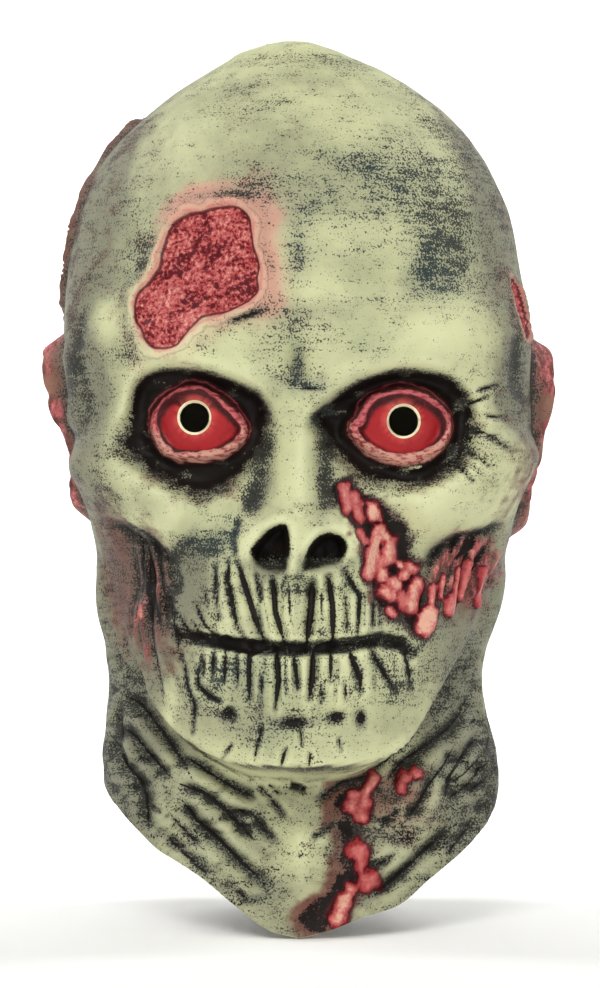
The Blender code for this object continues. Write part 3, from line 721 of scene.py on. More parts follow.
@dataclass
class Mouth:
    """Shut slit with dried, split lips above and below, and pitted chin."""

    slit: Path = (
        -491, 669, -348, 674, -205, 679, -82, 681, 41, 681, 184, 678, 327, 672, 409, 678,
        462, 689,
    )
    # Half width in mm, then the cut's path.  The last rows are the wrinkles beside the eyes and
    # the folds of the left cheek.
    splits: Table = (
        (0.45, -348, 591, -338, 631, -323, 650),
        (0.65, -293, 584, -288, 613, -254, 657, -218, 674),
        (0.95, -248, 591, -214, 621, -169, 657, -139, 676), (0.4, -180, 601, -160, 629),
        (0.95, -110, 604, -99, 641, -60, 677), (1.16, 49, 610, 45, 636, 25, 678),
        (0.95, 113, 604, 131, 636, 131, 676), (0.75, 176, 597, 241, 625, 231, 668),
        (0.6, -432, 633, -387, 657, -327, 671), (0.5, -507, 644, -456, 665, -389, 670),
        (0.4, -45, 618, -37, 653), (0.4, 86, 621, 86, 649), (0.4, 184, 627, 188, 657),
        (0.25, 262, 622, 258, 657), (0.25, 300, 622, 296, 655), (0.3, 335, 610, 325, 657),
        (0.22, -310, 600, -276, 645), (0.22, -160, 612, -120, 662), (0.22, 150, 690, 155, 720),
        (0.22, -60, 690, -55, 728), (0.35, -393, 616, -376, 636), (0.4, 295, 633, 291, 659),
        (0.6, -299, 686, -307, 717), (0.9, -205, 683, -205, 734),
        (0.95, -94, 683, -86, 714, -99, 744), (0.65, -25, 690, -8, 723),
        (0.99, 53, 683, 49, 711, 37, 734), (0.65, 123, 685, 123, 715),
        (0.9, 196, 683, 241, 711, 250, 728), (0.75, 286, 683, 356, 714, 385, 727),
        (0.7, 434, 688, 458, 724), (0.5, -254, 687, -250, 720), (0.4, -155, 711, -151, 726),
        (0.55, -352, 690, -360, 713), (0.45, -397, 692, -389, 711),
        (0.8, -420, 722, -370, 733, -325, 739), (0.55, -290, 746, -268, 757),
        (0.45, -480, 690, -462, 722, -430, 745, -442, 775), (0.5, -420, 702, -414, 722),
        (0.4, -440, 655, -400, 668), (0.4, 176, 715, 184, 737), (0.4, 82, 720, 86, 737),
        (0.4, -172, 782, -184, 801), (0.55, -57, 788, -78, 808), (0.4, 41, 793, 37, 806),
        (0.4, -155, 765, -168, 784), (0.35, 155, 778, 168, 791), (0.4, -278, 785, -319, 801),
        (0.35, 0, 767, 8, 782), (0.35, 10, 401, 100, 403), (0.45, 740, 402, 830, 394),
        (0.45, 760, 428, 850, 432), (0.5, 705, 418, 775, 408), (0.5, 715, 445, 790, 450),
        (0.45, 695, 466, 770, 484), (0.4, 650, 482, 705, 500),
        (0.55, -704, 562, -690, 600, -683, 632),
        (0.65, -667, 570, -640, 600, -600, 640, -560, 672),
        (0.5, -614, 586, -580, 612, -552, 640),
        (0.55, -736, 550, -655, 559, -575, 578, -534, 612),
        (0.5, -535, 630, -515, 660, -491, 694), (0.35, -640, 640, -610, 690, -575, 735),
        (0.4, 780, 452, 850, 466), (0.6, -286, 330, -135, 317),
    )
    # Pits of the chin: across, dropped, reach across, reach down, tilt.
    pits: Table = (
        (-0.02, 0.76, 0.07, 0.028), (0.146, 0.755, 0.045, 0.032, -8),
        (0.247, 0.757, 0.028, 0.045), (-0.29, 0.752, 0.04, 0.04, 30),
    )
    lip: float = 0.0042
    widen: float = 1.2

    def carve(self, ground: Ground) -> None:
        """Press the slit, the splits of the lips and the fibres between them.

        Args:
            ground: Where to carve and paint.
        """
        away, along = path_distance(ground.place, ground.metres(self.slit))
        ends = smooth_step(-0.04, 0.22, along) * smooth_step(1.03, 0.86, along)
        ground.relief -= 0.70 * smooth_step(1.0, 0.3, away / self.lip) * mix(0.4, 1.0, ends)
        gape = mix(0.0024, 0.0011, smooth_step(0.25, 0.85, along)) * mix(0.10, 1.0, ends)
        gape = gape + 0.0009 * grain(ground.base * (1.0, 0.2, 0.2), 0.0060, 37)
        muzzle = ground.lump(-0.02, 0.665, 0.42, 0.34) * ground.face
        fibre = grain(ground.base * (1.0, 0.3, 0.13), 0.0030, 31)
        strand = grain(ground.base * (1.0, 0.3, 0.10), 0.0070, 35)
        beside = smooth_step(0.0015, 0.0040, away)
        ground.relief += (0.07 * fibre + 0.13 * strand) * smooth_step(0.15, 0.6, muzzle) * beside
        ground.reach("cut", gape - away + 0.0006 * fibre, ground.face)
        ground.paint("ink_and_shade", 0.45 * smooth_step(0.0046, 0.0022, away))
        ground.paint("soot_and_shade", 0.55 * smooth_step(0.0085, 0.0025, away) * ends)
        full = smooth_step(0.2, 0.6, muzzle)
        # Soot and wash in the dips between the fibres, partly painted shade.
        ground.add("soot_and_shade", (0.02 + 0.45 * smooth_step(0.1, -0.7, fibre)) * full)
        ground.add("wash_and_shade", 0.35 * smooth_step(0.2, -0.7, strand) * full)
        for pit in self.pits:
            sunk = ground.lump(*pit) * ground.face
            ground.relief -= 0.35 * sunk
            ground.add("ink_and_shade", 0.75 * smooth_step(0.25, 0.9, sunk))
            ground.add("soot_and_shade", 0.60 * sunk)
        for half_width, *path in self.splits:
            half_width = half_width * self.widen
            slash = ground.slash(path, half_width * MM)
            reach = half_width * 0.0011 + 0.0006
            depth = np.maximum(half_width * MM - slash, 0.0) / reach
            valley = 0.35 * bell(depth - 2.0) - bell(depth)
            ground.relief += (0.06 + 0.15 * half_width) * valley
            ground.reach("cut", slash, ground.face)
            ground.paint("soot_and_shade", 0.18 * smooth_step(-0.0030, 0.0, slash))


@dataclass
class Wounds:
    """Raw patches of forehead, temple and skull, the torn cheek and the boils of the neck."""

    gash: Path = (
        -528, 230, -495, 219, -430, 212, -331, 207, -249, 208, -210, 217, -194, 232, -189, 258,
        -172, 281, -167, 297, -200, 307, -276, 315, -364, 325, -430, 334, -473, 347, -501, 356,
        -550, 359, -599, 359, -633, 350, -660, 333, -671, 313, -660, 298, -605, 281, -567, 264,
        -556, 246,
    )
    # On the flanks the first number runs from front to back, as a share of the half width.
    skull_patch: Path = (
        -100, 215, -60, 150, 60, 100, 240, 95, 400, 125, 500, 190, 460, 255, 340, 290, 180, 305,
        20, 290,
    )
    temple_slit: Path = (
        -330, 270, -280, 285, -250, 310, -270, 336, -330, 346, -385, 330, -400, 302, -380, 278,
    )
    tear: Path = (192, 505, 229, 522, 295, 540, 352, 559, 368, 586, 409, 618, 491, 651)
    wing_line: Path = (138, 500, 150, 520, 205, 541, 254, 562, 248, 588)
    # Radius in mm, paleness, then the path of the lump's middle line.
    cheek_lumps: Table = (
        (2.06, 0.55, 180, 509, 192, 530), (1.94, 0.5, 213, 517, 245, 541),
        (2.75, 1.0, 301, 533, 303, 538), (2.75, 0.75, 327, 555, 331, 558),
        (2.67, 0.8, 311, 567, 295, 582, 282, 599), (3.1, 0.7, 372, 570, 364, 585),
        (2.79, 0.8, 340, 603, 340, 604), (2.92, 0.75, 385, 611, 401, 614),
        (2.41, 0.8, 434, 603, 438, 605), (2.67, 0.7, 352, 621, 376, 625),
        (2.84, 0.75, 483, 615, 458, 638), (1.98, 0.6, 462, 594, 471, 597),
        (3.35, 1.0, 544, 646, 511, 661), (1.2, 0.6, 612, 607, 600, 628),
        (2.32, 0.55, 651, 633, 638, 644), (1.1, 0.45, 800, 600, 772, 640),
        (1.2, 0.5, 740, 592, 700, 632), (1.2, 0.6, 690, 600, 664, 640),
        (1.8, 0.9, 355, 560, 358, 563), (1.9, 0.6, 330, 588, 334, 590),
        (1.7, 0.8, 416, 592, 420, 594), (2.0, 0.55, 420, 624, 430, 634),
        (1.6, 0.7, 365, 640, 380, 646), (1.6, 0.5, 240, 556, 262, 566),
        (1.7, 0.6, 560, 618, 552, 634),
    )
    neck_lumps: Table = (
        (2.15, 0.6, 308, 828, 275, 844), (2.58, 0.6, 213, 859, 217, 861),
        (2.84, 0.55, 252, 868, 254, 869), (2.58, 0.5, 267, 853, 267, 854),
        (2.24, 0.6, 229, 847, 233, 848), (2.32, 0.5, 438, 828, 442, 829),
        (2.15, 0.5, 479, 824, 484, 825), (1.89, 0.45, 425, 836, 425, 841),
        (3.7, 0.5, 246, 907, 246, 909), (2.06, 0.4, 252, 920, 254, 923),
        (3.96, 0.5, 286, 940, 286, 941), (3.44, 0.8, 188, 960, 183, 963),
        (3.44, 0.8, 163, 976, 158, 978), (1.98, 0.7, 208, 948, 208, 952),
    )
    neck_trench: Path = (
        208, 846, 192, 873, 185, 895, 192, 918, 225, 933, 175, 943, 92, 963, 50, 982,
    )

    # Metres that a lump spreads for each mm of its radius, its foot included.
    spread: float = 0.00128

    def carve(self, ground: Ground) -> None:
        """Open the wounds of the face and fill them with raw lumps.

        Args:
            ground: Where to carve and paint.
        """
        self.open_patch(ground, ground.inside(self.gash), ground.face, 0.22, 0.75)
        ground.paint("blush", 0.85 * ground.lump(-0.135, 0.255, 0.075, 0.260))
        ground.paint("blush", 0.75 * ground.lump(-0.430, 0.195, 0.120, 0.060, -20))
        away, along = path_distance(ground.place, ground.metres(self.tear))
        ragged = away + 0.0022 * grain(ground.base, 0.005, 5, 3)
        narrowed = mix(1.0, 0.65, smooth_step(0.75, 1.0, along))
        width = mix(0.0035, 0.0105, smooth_step(0.0, 0.35, along)) * narrowed
        ground.relief -= 0.42 * smooth_step(1.35, 0.5, away / width)
        ground.paint("ink_and_shade", 0.85 * smooth_step(1.10, 0.80, ragged / width))
        ground.paint("rust", 0.8 * smooth_step(1.35, 1.0, ragged / width))
        ground.paint("soot_and_shade", 0.8 * smooth_step(1.60, 1.0, ragged / width))
        ground.reach("cut", ground.slash(self.wing_line, 0.0009), ground.face)
        strands = ground.lump(0.71, 0.600, 0.16, 0.15, -25) * ground.face
        fibre = grain((ground.base @ turned(-25)) * (1.0, 0.3, 0.2), 0.0030, 33)
        ground.add("sore", 1.3 * strands)
        ground.add("ink_and_shade", 0.75 * smooth_step(0.2, 0.6, strands) * smooth_step(0.05, -0.6, fibre))
        ground.relief += 0.16 * fibre * smooth_step(0.1, 0.5, strands)
        # The hollow under the left cheekbone: ink, stain and soot between raised strands, partly
        # painted shade.
        hollow = ground.lump(-0.655, 0.632, 0.125, 0.24, 4) * ground.face
        hollow = hollow * smooth_step(-0.500, -0.545, ground.x)
        wisp = grain((ground.base @ turned(8)) * (1.0, 0.3, 0.2), 0.0035, 34)
        ground.add("ink_and_shade", 0.80 * hollow * smooth_step(0.4, -0.6, wisp))
        ground.add("sore", 1.1 * hollow * smooth_step(-0.5, 0.5, wisp))
        ground.add("rust", 1.0 * hollow)
        ground.add("soot_and_shade", 0.5 * hollow)
        ground.relief += 0.16 * wisp * smooth_step(0.1, 0.5, hollow)
        self.raise_lumps(ground, self.cheek_lumps)

        away, along = path_distance(ground.place, ground.metres(self.neck_trench))
        ragged = away + 0.0025 * grain(ground.base, 0.009, 6)
        ground.relief -= 0.20 * smooth_step(0.009, 0.002, away)
        throat = ground.face * smooth_step(0.80, 0.83, ground.down)
        ground.add("ink_and_shade", 0.70 * smooth_step(0.0060, 0.0030, ragged) * throat)
        ground.add("rust", 0.90 * smooth_step(0.0130, 0.0050, ragged) * throat)
        stained = ground.lump(0.40, 0.855, 0.24, 0.20) * throat
        ground.add("rust", 0.40 * stained)
        ground.add("blush", 0.30 * stained)
        self.raise_lumps(ground, self.neck_lumps)

    def carve_flanks(self, ground: Ground) -> None:
        """Open the torn patch of the skull and the slit in the temple.

        Args:
            ground: Where to carve and paint.
        """
        for outline, side, lip, fresh in ((self.skull_patch, -1, 0.34, 0.1),
                                          (self.temple_slit, 1, 0.16, 0.5)):
            inside = depth_inside(ground.flank, ground.metres(outline))
            where = ground.x * side > 0.45
            self.open_patch(ground, inside, where, lip, fresh)

    def open_patch(self, ground: Ground, inside: np.ndarray, where: np.ndarray, lip: float,
                   fresh: float) -> None:
        """Sink a pitted raw patch behind a raised lip.

        Args:
            ground: Where to carve and paint.
            inside: Metres inside the patch.
            where: Places that the patch belongs to.
            lip: Height of the lip, in relief units.
            fresh: How rosy the skin round it is; a dry wound is ringed with soot instead.
        """
        rough = grain(ground.base, 0.010, 3)
        inside = inside + 0.0010 * rough
        rim = (lip + 0.08 * rough) * bell(inside + 0.0028, 0.0024)
        floor = 0.20 * smooth_step(-0.0010, 0.0008, inside)
        pits = 0.12 * grain(ground.base, 0.0034, 9, 3) * smooth_step(0.0, 0.002, inside)
        if fresh > 0.3:
            ground.reach("gash_in", inside, where)
        else:
            floor_paint = smooth_step(-0.0010, 0.0010, inside) * where
            ground.add("sore", 1.0 * floor_paint)
            ground.add("ink_and_shade", 0.75 * smooth_step(0.2, -0.7, rough) * floor_paint)
            ground.add("ink_and_shade", 0.8 * bell(inside, 0.0018) * where)
        halo = bell(np.maximum(-inside - 0.001, 0.0), 0.0095 + 0.003 * rough)
        side = 0.45 + 0.75 * ground.lump(-0.20, 0.215, 0.30, 0.42)
        ground.add("blush", 1.1 * fresh * side * halo * where)
        ground.add("soot_and_shade", (0.45 - 0.35 * fresh) * halo * where)
        ground.add("rust", (0.9 - fresh) * halo * where)
        ground.relief += (rim - floor + pits) * where

    def raise_lumps(self, ground: Ground, lumps: Table) -> None:
        """Raise round or drawn-out lumps of flesh, each with its own paleness.

        Args:
            ground: Where to carve and paint.
            lumps: Radius in mm, paleness and path of each lump.
        """
        highest = np.zeros(len(ground.base))
        wobble = 1.0 + 0.22 * grain(ground.base, 0.0035, 14)
        for radius, paleness, *path in lumps:
            away, _ = path_distance(ground.place, ground.metres(path))
            knob = 1.0 - (away * wobble / (radius * self.spread)) ** 2
            higher = (knob > ground.masks["knob"]) & ground.face
            ground.masks["tone"] = np.where(higher & (knob > 0), paleness, ground.masks["tone"])
            ground.masks["knob"] = np.where(higher, knob, ground.masks["knob"])
            dome = np.sqrt(np.clip(knob, 0.0, 1.0)) * (0.20 + 0.085 * radius) * (0.6 + 0.4 * wobble)
            highest = np.maximum(highest, dome)
            ground.paint("rust", 0.20 * bell(away, 0.008))
        ground.relief += highest


@dataclass
class Neck:
    """Sagging folds of the neck and bib."""

    # Depth, reach, half width of the inked line in mm, then the fold's path.
    folds: Table = (
        (0.35, 0.03, 0.8, -755, 742, -681, 752, -619, 771, -551, 792, -502, 809, -440, 833),
        (0.3, 0.028, 0.7, -767, 776, -699, 789, -625, 810, -514, 836),
        (0.35, 0.03, 0.8, -817, 784, -798, 804, -755, 823, -693, 833, -656, 853, -650, 879,
         -625, 903),
        (0.3, 0.028, 0.7, -486, 805, -412, 818, -326, 833, -216, 847, -154, 858),
        (0.35, 0.03, 0.9, -510, 836, -412, 844, -326, 860, -253, 879, -173, 900),
        (0.35, 0.03, 0.9, -510, 850, -437, 876, -339, 896, -253, 918, -154, 942, -130, 957),
        (0.2, 0.018, 0.6, -302, 858, -185, 871, -154, 884, -87, 902),
        (0.2, 0.018, 0.6, -547, 871, -480, 889, -400, 907),
        (0.25, 0.028, 0.7, -572, 896, -498, 910, -369, 939),
        (0.18, 0.015, 0.5, -185, 834, -124, 849, -56, 875),
        (0.16, 0.014, 0.5, -136, 834, -81, 847), (0.14, 0.014, 0.4, -44, 834, 30, 842),
        (0.16, 0.014, 0.4, -633, 863, -578, 870),
        (0.2, 0.018, 0.5, -786, 763, -767, 797, -743, 823),
        (0.14, 0.014, 0.5, -265, 949, -216, 962), (0.16, 0.014, 0.5, 25, 841, -2, 838, -42, 834),
        (0.22, 0.018, 0.6, 52, 856, 112, 845, 165, 834, 252, 829, 332, 815, 425, 796, 512, 775),
        (0.3, 0.028, 0.6, 352, 834, 425, 813, 526, 796, 626, 780, 686, 764, 752, 734),
        (0.28, 0.024, 0.6, 425, 880, 492, 861, 546, 836, 619, 813, 666, 789),
        (0.32, 0.026, 0.7, 610, 853, 630, 830, 697, 808, 791, 784),
        (0.2, 0.018, 0.5, 637, 838, 731, 821, 805, 801),
        (0.28, 0.024, 0.6, 623, 856, 711, 842, 805, 817), (0.18, 0.016, 0.5, 717, 853, 825, 830),
        (0.16, 0.014, 0.4, 45, 894, 105, 885, 152, 878),
        (0.18, 0.016, 0.5, 252, 929, 332, 922, 412, 910),
        (0.33, 0.028, 0.8, 305, 957, 412, 935, 492, 917, 612, 894, 666, 882),
        (0.25, 0.026, 0.6, 617, 918, 670, 902, 764, 877), (0.16, 0.014, 0.4, 724, 775, 758, 769),
        (0.16, 0.016, 0.5, 332, 882, 385, 871, 425, 861),
    )

    def carve(self, ground: Ground) -> None:
        """Press the folds and let ink settle in them.

        Args:
            ground: Where to carve and paint.
        """
        for depth, reach, half_width, *path in self.folds:
            ground.relief += 1.4 * depth * ground.crease(path, reach)
            slash = ground.slash(path, half_width * MM)
            ground.reach("cut", slash, ground.face)
            ground.paint("soot_and_shade", 0.25 * smooth_step(-0.0050, 0.0, slash))
        # Fine creases that run with the folds, down towards the middle of the bib.
        slant = ground.base * (1.0, 0.5, 1.0)
        slant = np.stack([np.abs(slant[:, 0]) * 0.30 + slant[:, 2] * 0.95,
                          np.abs(slant[:, 0]) * 0.14, slant[:, 1]], axis=1)
        crease = grain(slant, 0.0045, 61, 3)
        throat = smooth_step(0.0, 0.05, ground.down - ground.jaw)
        throat = throat * smooth_step(0.05, 0.25, np.abs(ground.x)) * ground.face
        ground.relief -= 0.16 * smooth_step(0.15, 0.65, crease) * throat
        ground.add("ink_and_shade", 0.38 * smooth_step(0.30, 0.75, crease) * throat)
        # Between the creases the ridges are painted pale, partly as highlight, and rubbed free of
        # soot.
        ground.add("bare", 0.5 * smooth_step(0.0, -0.6, crease) * throat)
        ground.wipe("soot_and_shade", 0.5 * smooth_step(0.0, -0.6, crease) * throat)


@dataclass
class GrimeAndShade:
    """Where the painter dry-brushed soot and laid painted shade, and where the skin stayed pale."""

    # Each row: strength, across, dropped, reach across, reach down, and a tilt where it has one.
    patches: Table = (
        (0.72, 0.573, 0.199, 0.205, 0.348, -12), (0.45, 0.646, 0.242, 0.106, 0.213),
        (0.62, 0.511, 0.274, 0.09, 0.164), (0.48, 0.307, 0.164, 0.225, 0.106),
        (0.35, 0.184, 0.155, 0.106, 0.065), (0.28, 0.143, 0.204, 0.225, 0.155),
        (0.35, -0.172, 0.095, 0.18, 0.061, -10), (0.4, -0.245, 0.067, 0.147, 0.033, -20),
        (0.75, -0.307, 0.192, 0.172, 0.035, -8), (0.35, -0.02, 0.262, 0.05, 0.16),
        (0.6, -0.64, 0.262, 0.06, 0.12, 30), (0.6, -0.62, 0.372, 0.11, 0.03, 10),
        (0.45, -0.06, 0.345, 0.11, 0.11), (0.3, -0.131, 0.182, 0.123, 0.106),
        (0.35, 0.0, 0.247, 0.041, 0.131), (0.45, -0.704, 0.225, 0.074, 0.225, 12),
        (0.3, -0.769, 0.306, 0.049, 0.123), (0.55, -0.205, 0.319, 0.09, 0.025, -25),
        (0.25, 0.0, 0.33, 0.074, 0.06), (0.6, 0.01, 0.396, 0.14, 0.06),
        (0.45, 0.307, 0.362, 0.139, 0.037, 8), (0.5, -0.704, 0.362, 0.09, 0.041),
        (0.6, -0.389, 0.362, 0.057, 0.025, 30), (0.6, 0.798, 0.457, 0.057, 0.037, 20),
        (0.4, 0.736, 0.405, 0.082, 0.041), (0.45, 0.696, 0.489, 0.074, 0.057),
        (0.45, -0.409, 0.502, 0.147, 0.033), (0.5, 0.376, 0.498, 0.196, 0.033),
        (0.4, -0.172, 0.45, 0.06, 0.11), (0.75, 0.105, 0.47, 0.04, 0.19),
        (0.6, -0.185, 0.5, 0.035, 0.13, 8), (0.55, -0.221, 0.543, 0.053, 0.074, 20),
        (0.75, -0.43, 0.573, 0.106, 0.098, 20), (0.6, -0.54, 0.573, 0.057, 0.057),
        (1.1, -0.32, 0.56, 0.07, 0.08, 35), (0.55, -0.37, 0.562, 0.08, 0.06),
        # The next two rows are painted shadow where the temples meet the ears.
        (1.0, 0.9, 0.375, 0.04, 0.15), (0.9, -0.93, 0.385, 0.035, 0.16),
        (0.2, -0.08, 0.618, 0.123, 0.049), (0.3, 0.12, 0.618, 0.123, 0.049),
        (0.12, -0.327, 0.629, 0.139, 0.115), (0.2, 0.063, 0.641, 0.12, 0.106),
        (0.2, -0.063, 0.641, 0.12, 0.09), (0.5, -0.348, 0.707, 0.106, 0.098),
        (0.25, -0.123, 0.707, 0.205, 0.09), (0.2, 0.184, 0.707, 0.205, 0.082),
        (0.35, 0.43, 0.707, 0.082, 0.123), (0.6, 0.09, 0.52, 0.03, 0.08),
        (0.65, 0.41, 0.65, 0.05, 0.07), (0.45, -0.25, 0.7, 0.11, 0.09),
        (0.45, 0.02, 0.612, 0.16, 0.035), (1.2, -0.64, 0.59, 0.055, 0.14, -15),
        (1.1, -0.54, 0.645, 0.045, 0.13, -18), (0.8, -0.66, 0.335, 0.07, 0.09, 20),
        (0.6, -0.348, 0.75, 0.09, 0.041, 20), (0.5, -0.205, 0.774, 0.139, 0.065),
        (0.45, 0.082, 0.785, 0.164, 0.065), (0.6, 0.409, 0.726, 0.098, 0.09),
        (0.5, 0.45, 0.672, 0.082, 0.049), (0.4, -0.491, 0.737, 0.082, 0.098),
        (0.4, 0.573, 0.672, 0.098, 0.139), (0.3, 0.655, 0.737, 0.082, 0.123),
        (0.55, -0.736, 0.586, 0.065, 0.245), (0.5, -0.614, 0.629, 0.09, 0.205),
        (0.4, -0.798, 0.468, 0.057, 0.245),
    )
    # Bluish soot.
    cold: Table = (
        (0.9, 0.24, 0.19, 0.3, 0.3), (0.8, 0.45, 0.29, 0.3, 0.2), (0.7, 0.0, 0.25, 0.1, 0.2),
        (0.8, -0.2, 0.71, 0.28, 0.12), (0.8, -0.33, 0.56, 0.18, 0.14),
        (0.6, 0.05, 0.4, 0.25, 0.22),
    )
    # Red-brown stains, most of them beside the jaw.
    stains: Table = (
        (1.1, -0.79, 0.6, 0.085, 0.26), (0.9, -0.62, 0.63, 0.1, 0.22),
        (0.55, 0.76, 0.59, 0.09, 0.2), (0.3, -0.3, 0.52, 0.06, 0.1),
        (0.45, -0.5, 0.69, 0.06, 0.1), (0.3, -0.13, 0.19, 0.14, 0.08),
        (0.3, -0.78, 0.27, 0.06, 0.2),
    )
    # Painted shade, laid with the wash, that models the bones.
    shades: Table = (
        (0.55, -0.15, 0.49, 0.06, 0.22), (0.55, 0.1, 0.5, 0.05, 0.2),
        (1.0, -0.62, 0.612, 0.2, 0.22), (0.8, 0.66, 0.62, 0.18, 0.22),
        (0.55, -0.44, 0.618, 0.09, 0.14), (0.85, -0.62, 0.715, 0.2, 0.28),
        (0.55, 0.64, 0.715, 0.15, 0.26), (0.6, -0.82, 0.235, 0.12, 0.45),
        (0.55, 0.8, 0.235, 0.12, 0.45), (0.35, 0.0, 0.4, 0.16, 0.06),
        (0.6, -0.86, 0.415, 0.09, 0.26), (0.6, 0.89, 0.415, 0.09, 0.26),
        (0.35, -0.42, 0.528, 0.24, 0.04), (0.35, 0.4, 0.528, 0.2, 0.04),
        (0.15, 0.0, 0.06, 0.5, 0.1), (0.4, -0.25, 0.765, 0.2, 0.08), (0.35, 0.3, 0.77, 0.2, 0.08),
        (0.3, 0.0, 0.32, 0.3, 0.06), (0.35, 0.1, 0.2, 0.45, 0.35),
        (0.45, -0.45, 0.16, 0.35, 0.35), (0.9, 0.9, 0.375, 0.05, 0.16),
        (0.9, -0.93, 0.385, 0.05, 0.16),
    )
    # Clean, pale places; on the raised brows, cheekbones and nose they also stand for painted
    # highlight.
    clean_and_highlight: Table = (
        (0.8, 0.55, 0.345, 0.24, 0.09), (0.7, -0.45, 0.368, 0.14, 0.05),
        (0.9, 0.0, 0.5, 0.05, 0.26), (0.9, -0.52, 0.545, 0.26, 0.08),
        (0.9, 0.62, 0.53, 0.26, 0.1), (0.6, 0.15, 0.3, 0.22, 0.05), (0.7, -0.1, 0.815, 0.3, 0.07),
        (0.7, 0.0, 0.905, 0.1, 0.14), (0.6, -0.2, 0.57, 0.06, 0.05),
        (0.6, 0.22, 0.56, 0.06, 0.06), (0.5, -0.45, 0.13, 0.18, 0.22),
        (0.7, 0.86, 0.49, 0.08, 0.2), (0.9, -0.79, 0.325, 0.07, 0.1),
        (0.8, -0.54, 0.745, 0.05, 0.14), (0.7, -0.57, 0.565, 0.04, 0.05),
        (0.2, 0.05, 0.7, 0.3, 0.06), (0.4, 0.05, 0.63, 0.3, 0.1), (0.6, 0.3, 0.8, 0.16, 0.08),
        (0.6, 0.2, 0.24, 0.2, 0.1),
    )

    def brush(self, ground: Ground) -> None:
        """Lay the soot, the stains, the wash and the painted shade, and make the high places pale,
        partly as painted highlight.

        Args:
            ground: Where to paint.
        """
        drift = grain(ground.base, 0.030, 41)
        for name, rows in (("soot_and_shade", self.patches), ("slate", self.cold), ("rust", self.stains),
                           ("wash_and_shade", self.shades)):
            for strength, *place in rows:
                ground.paint(name, strength * ground.lump(*place))
        # Below the jaw and on the flanks, which turn away from the front, the skin is darker: soot
        # and wash partly as painted shade, with red-brown stain on the flanks.
        neck = smooth_step(ground.jaw - 0.012, ground.jaw + 0.024, ground.down)
        below_crown = mix(0.15, 1.0, smooth_step(0.0, 0.16, ground.down))
        flank = smooth_step(0.82, 1.22, ground.round) * below_crown
        ground.add("soot_and_shade", 0.16 + (0.16 + 0.30 * drift) * neck + (0.46 + 0.20 * drift) * flank)
        ground.add("rust", (0.34 + 0.25 * drift) * flank * (1.0 - neck))
        ground.add("wash_and_shade", 0.14 + 0.45 * neck + (0.75 + 0.12 * drift) * flank)
        ground.add("soot_and_shade", 0.12 * smooth_step(0.14, 0.02, ground.down) * (1.0 + drift))
        for strength, *place in self.clean_and_highlight:
            ground.rub_and_highlight(strength * ground.lump(*place) * ground.face, 0.5)


@dataclass
class Ears:
    """Ears pressed flat against the head, stained with old blood."""

    # Side, share dropped at the middle, height in metres, lift of the flap.
    ears: Table = ((-1, 0.436, 0.079, 0.64), (1, 0.448, 0.084, 0.60))
    depth: float = 0.044
    behind_axis: float = 0.012
    lean: float = math.radians(10)
    # The flap's outline is squarer than an ellipse, and its lean is eased by this much.
    squareness: float = 2.5
    ease: float = 0.6

    def carve(self, ground: Ground) -> None:
        """Raise both flaps with their rolled edges and bowls.

        Args:
            ground: Where to carve and paint.
        """
        lumps = grain(ground.base, 0.009, 51)
        for side, middle, height, lift in self.ears:
            x = (ground.base[:, 1] - self.behind_axis) / (self.depth / 2)
            z = (ground.drop - middle * SIZES.height) / (height / 2)
            u = x * math.cos(self.lean) + z * math.sin(self.lean) * self.ease
            v = z * math.cos(self.lean) - x * math.sin(self.lean) * self.ease
            flare = 0.10 * smooth_step(0.3, -0.5, v) * (u > 0)
            taper = 1.0 - 0.30 * smooth_step(0.0, 0.8, v) + flare
            out = np.abs(u / taper) ** self.squareness + np.abs(v) ** self.squareness
            out = out ** (1.0 / self.squareness)
            lobe = np.exp(-((u / 0.5) ** 2) - ((v - 0.78) / 0.22) ** 2)
            full = mix(1.0, 0.45, smooth_step(-0.4, 0.2, v)) + 0.45 * smooth_step(0.3, 0.8, v)
            flap = smooth_step(1.10, 0.86, out) * full
            roll = bell(out - 0.84, 0.12) * smooth_step(0.9, 0.0, v - 0.3 * u)
            bowl = np.exp(-(((u + 0.02) / 0.38) ** 2) - ((v - 0.14) / 0.36) ** 2)
            groove = bell(out - 0.68, 0.08) * smooth_step(0.55, 0.0, v - 0.5 * u)
            fold = bell(out - 0.52, 0.09) * smooth_step(0.5, -0.1, v - 0.5 * u)
            flesh_nub = np.exp(-(((u + 0.52) / 0.16) ** 2) - ((v - 0.05) / 0.18) ** 2)
            facing = smooth_step(0.55, 0.75, ground.x * side)
            ground.relief += (lift * flap + 0.55 * roll + 0.20 * lobe - 0.95 * bowl * flap) * facing
            carved = 0.34 * fold + 0.55 * flesh_nub - 0.45 * groove + 0.06 * lumps
            ground.relief += carved * flap * facing
            over = smooth_step(1.20, 0.95, out) * facing
            # Ink in the bowl and in the groove inside the rim: painted shade of the hollows.
            ground.add("ink_and_shade", (1.00 * bowl + 0.80 * groove) * flap * facing)
            ground.wipe("soot_and_shade", over)
            ground.add("sore", (0.62 + 0.40 * lumps) * over)
            ground.add("rust", 1.10 * over)
            # Blush on the rolled rim and the lobe, partly painted highlight on the raised parts.
            ground.add("blush", 0.55 * over * (roll + lobe))
            ground.add("ink_and_shade", 0.25 * smooth_step(0.1, -0.8, lumps) * over)
            ground.add("soot_and_shade", (0.30 + 0.30 * smooth_step(0.70, 0.55, out)) * over)
            ground.wipe("wash_and_shade", over)


class Slot(IntEnum):
    """Material slots of the casting."""

    PAINTED = 0
    RAW = 1
    CUT = 2


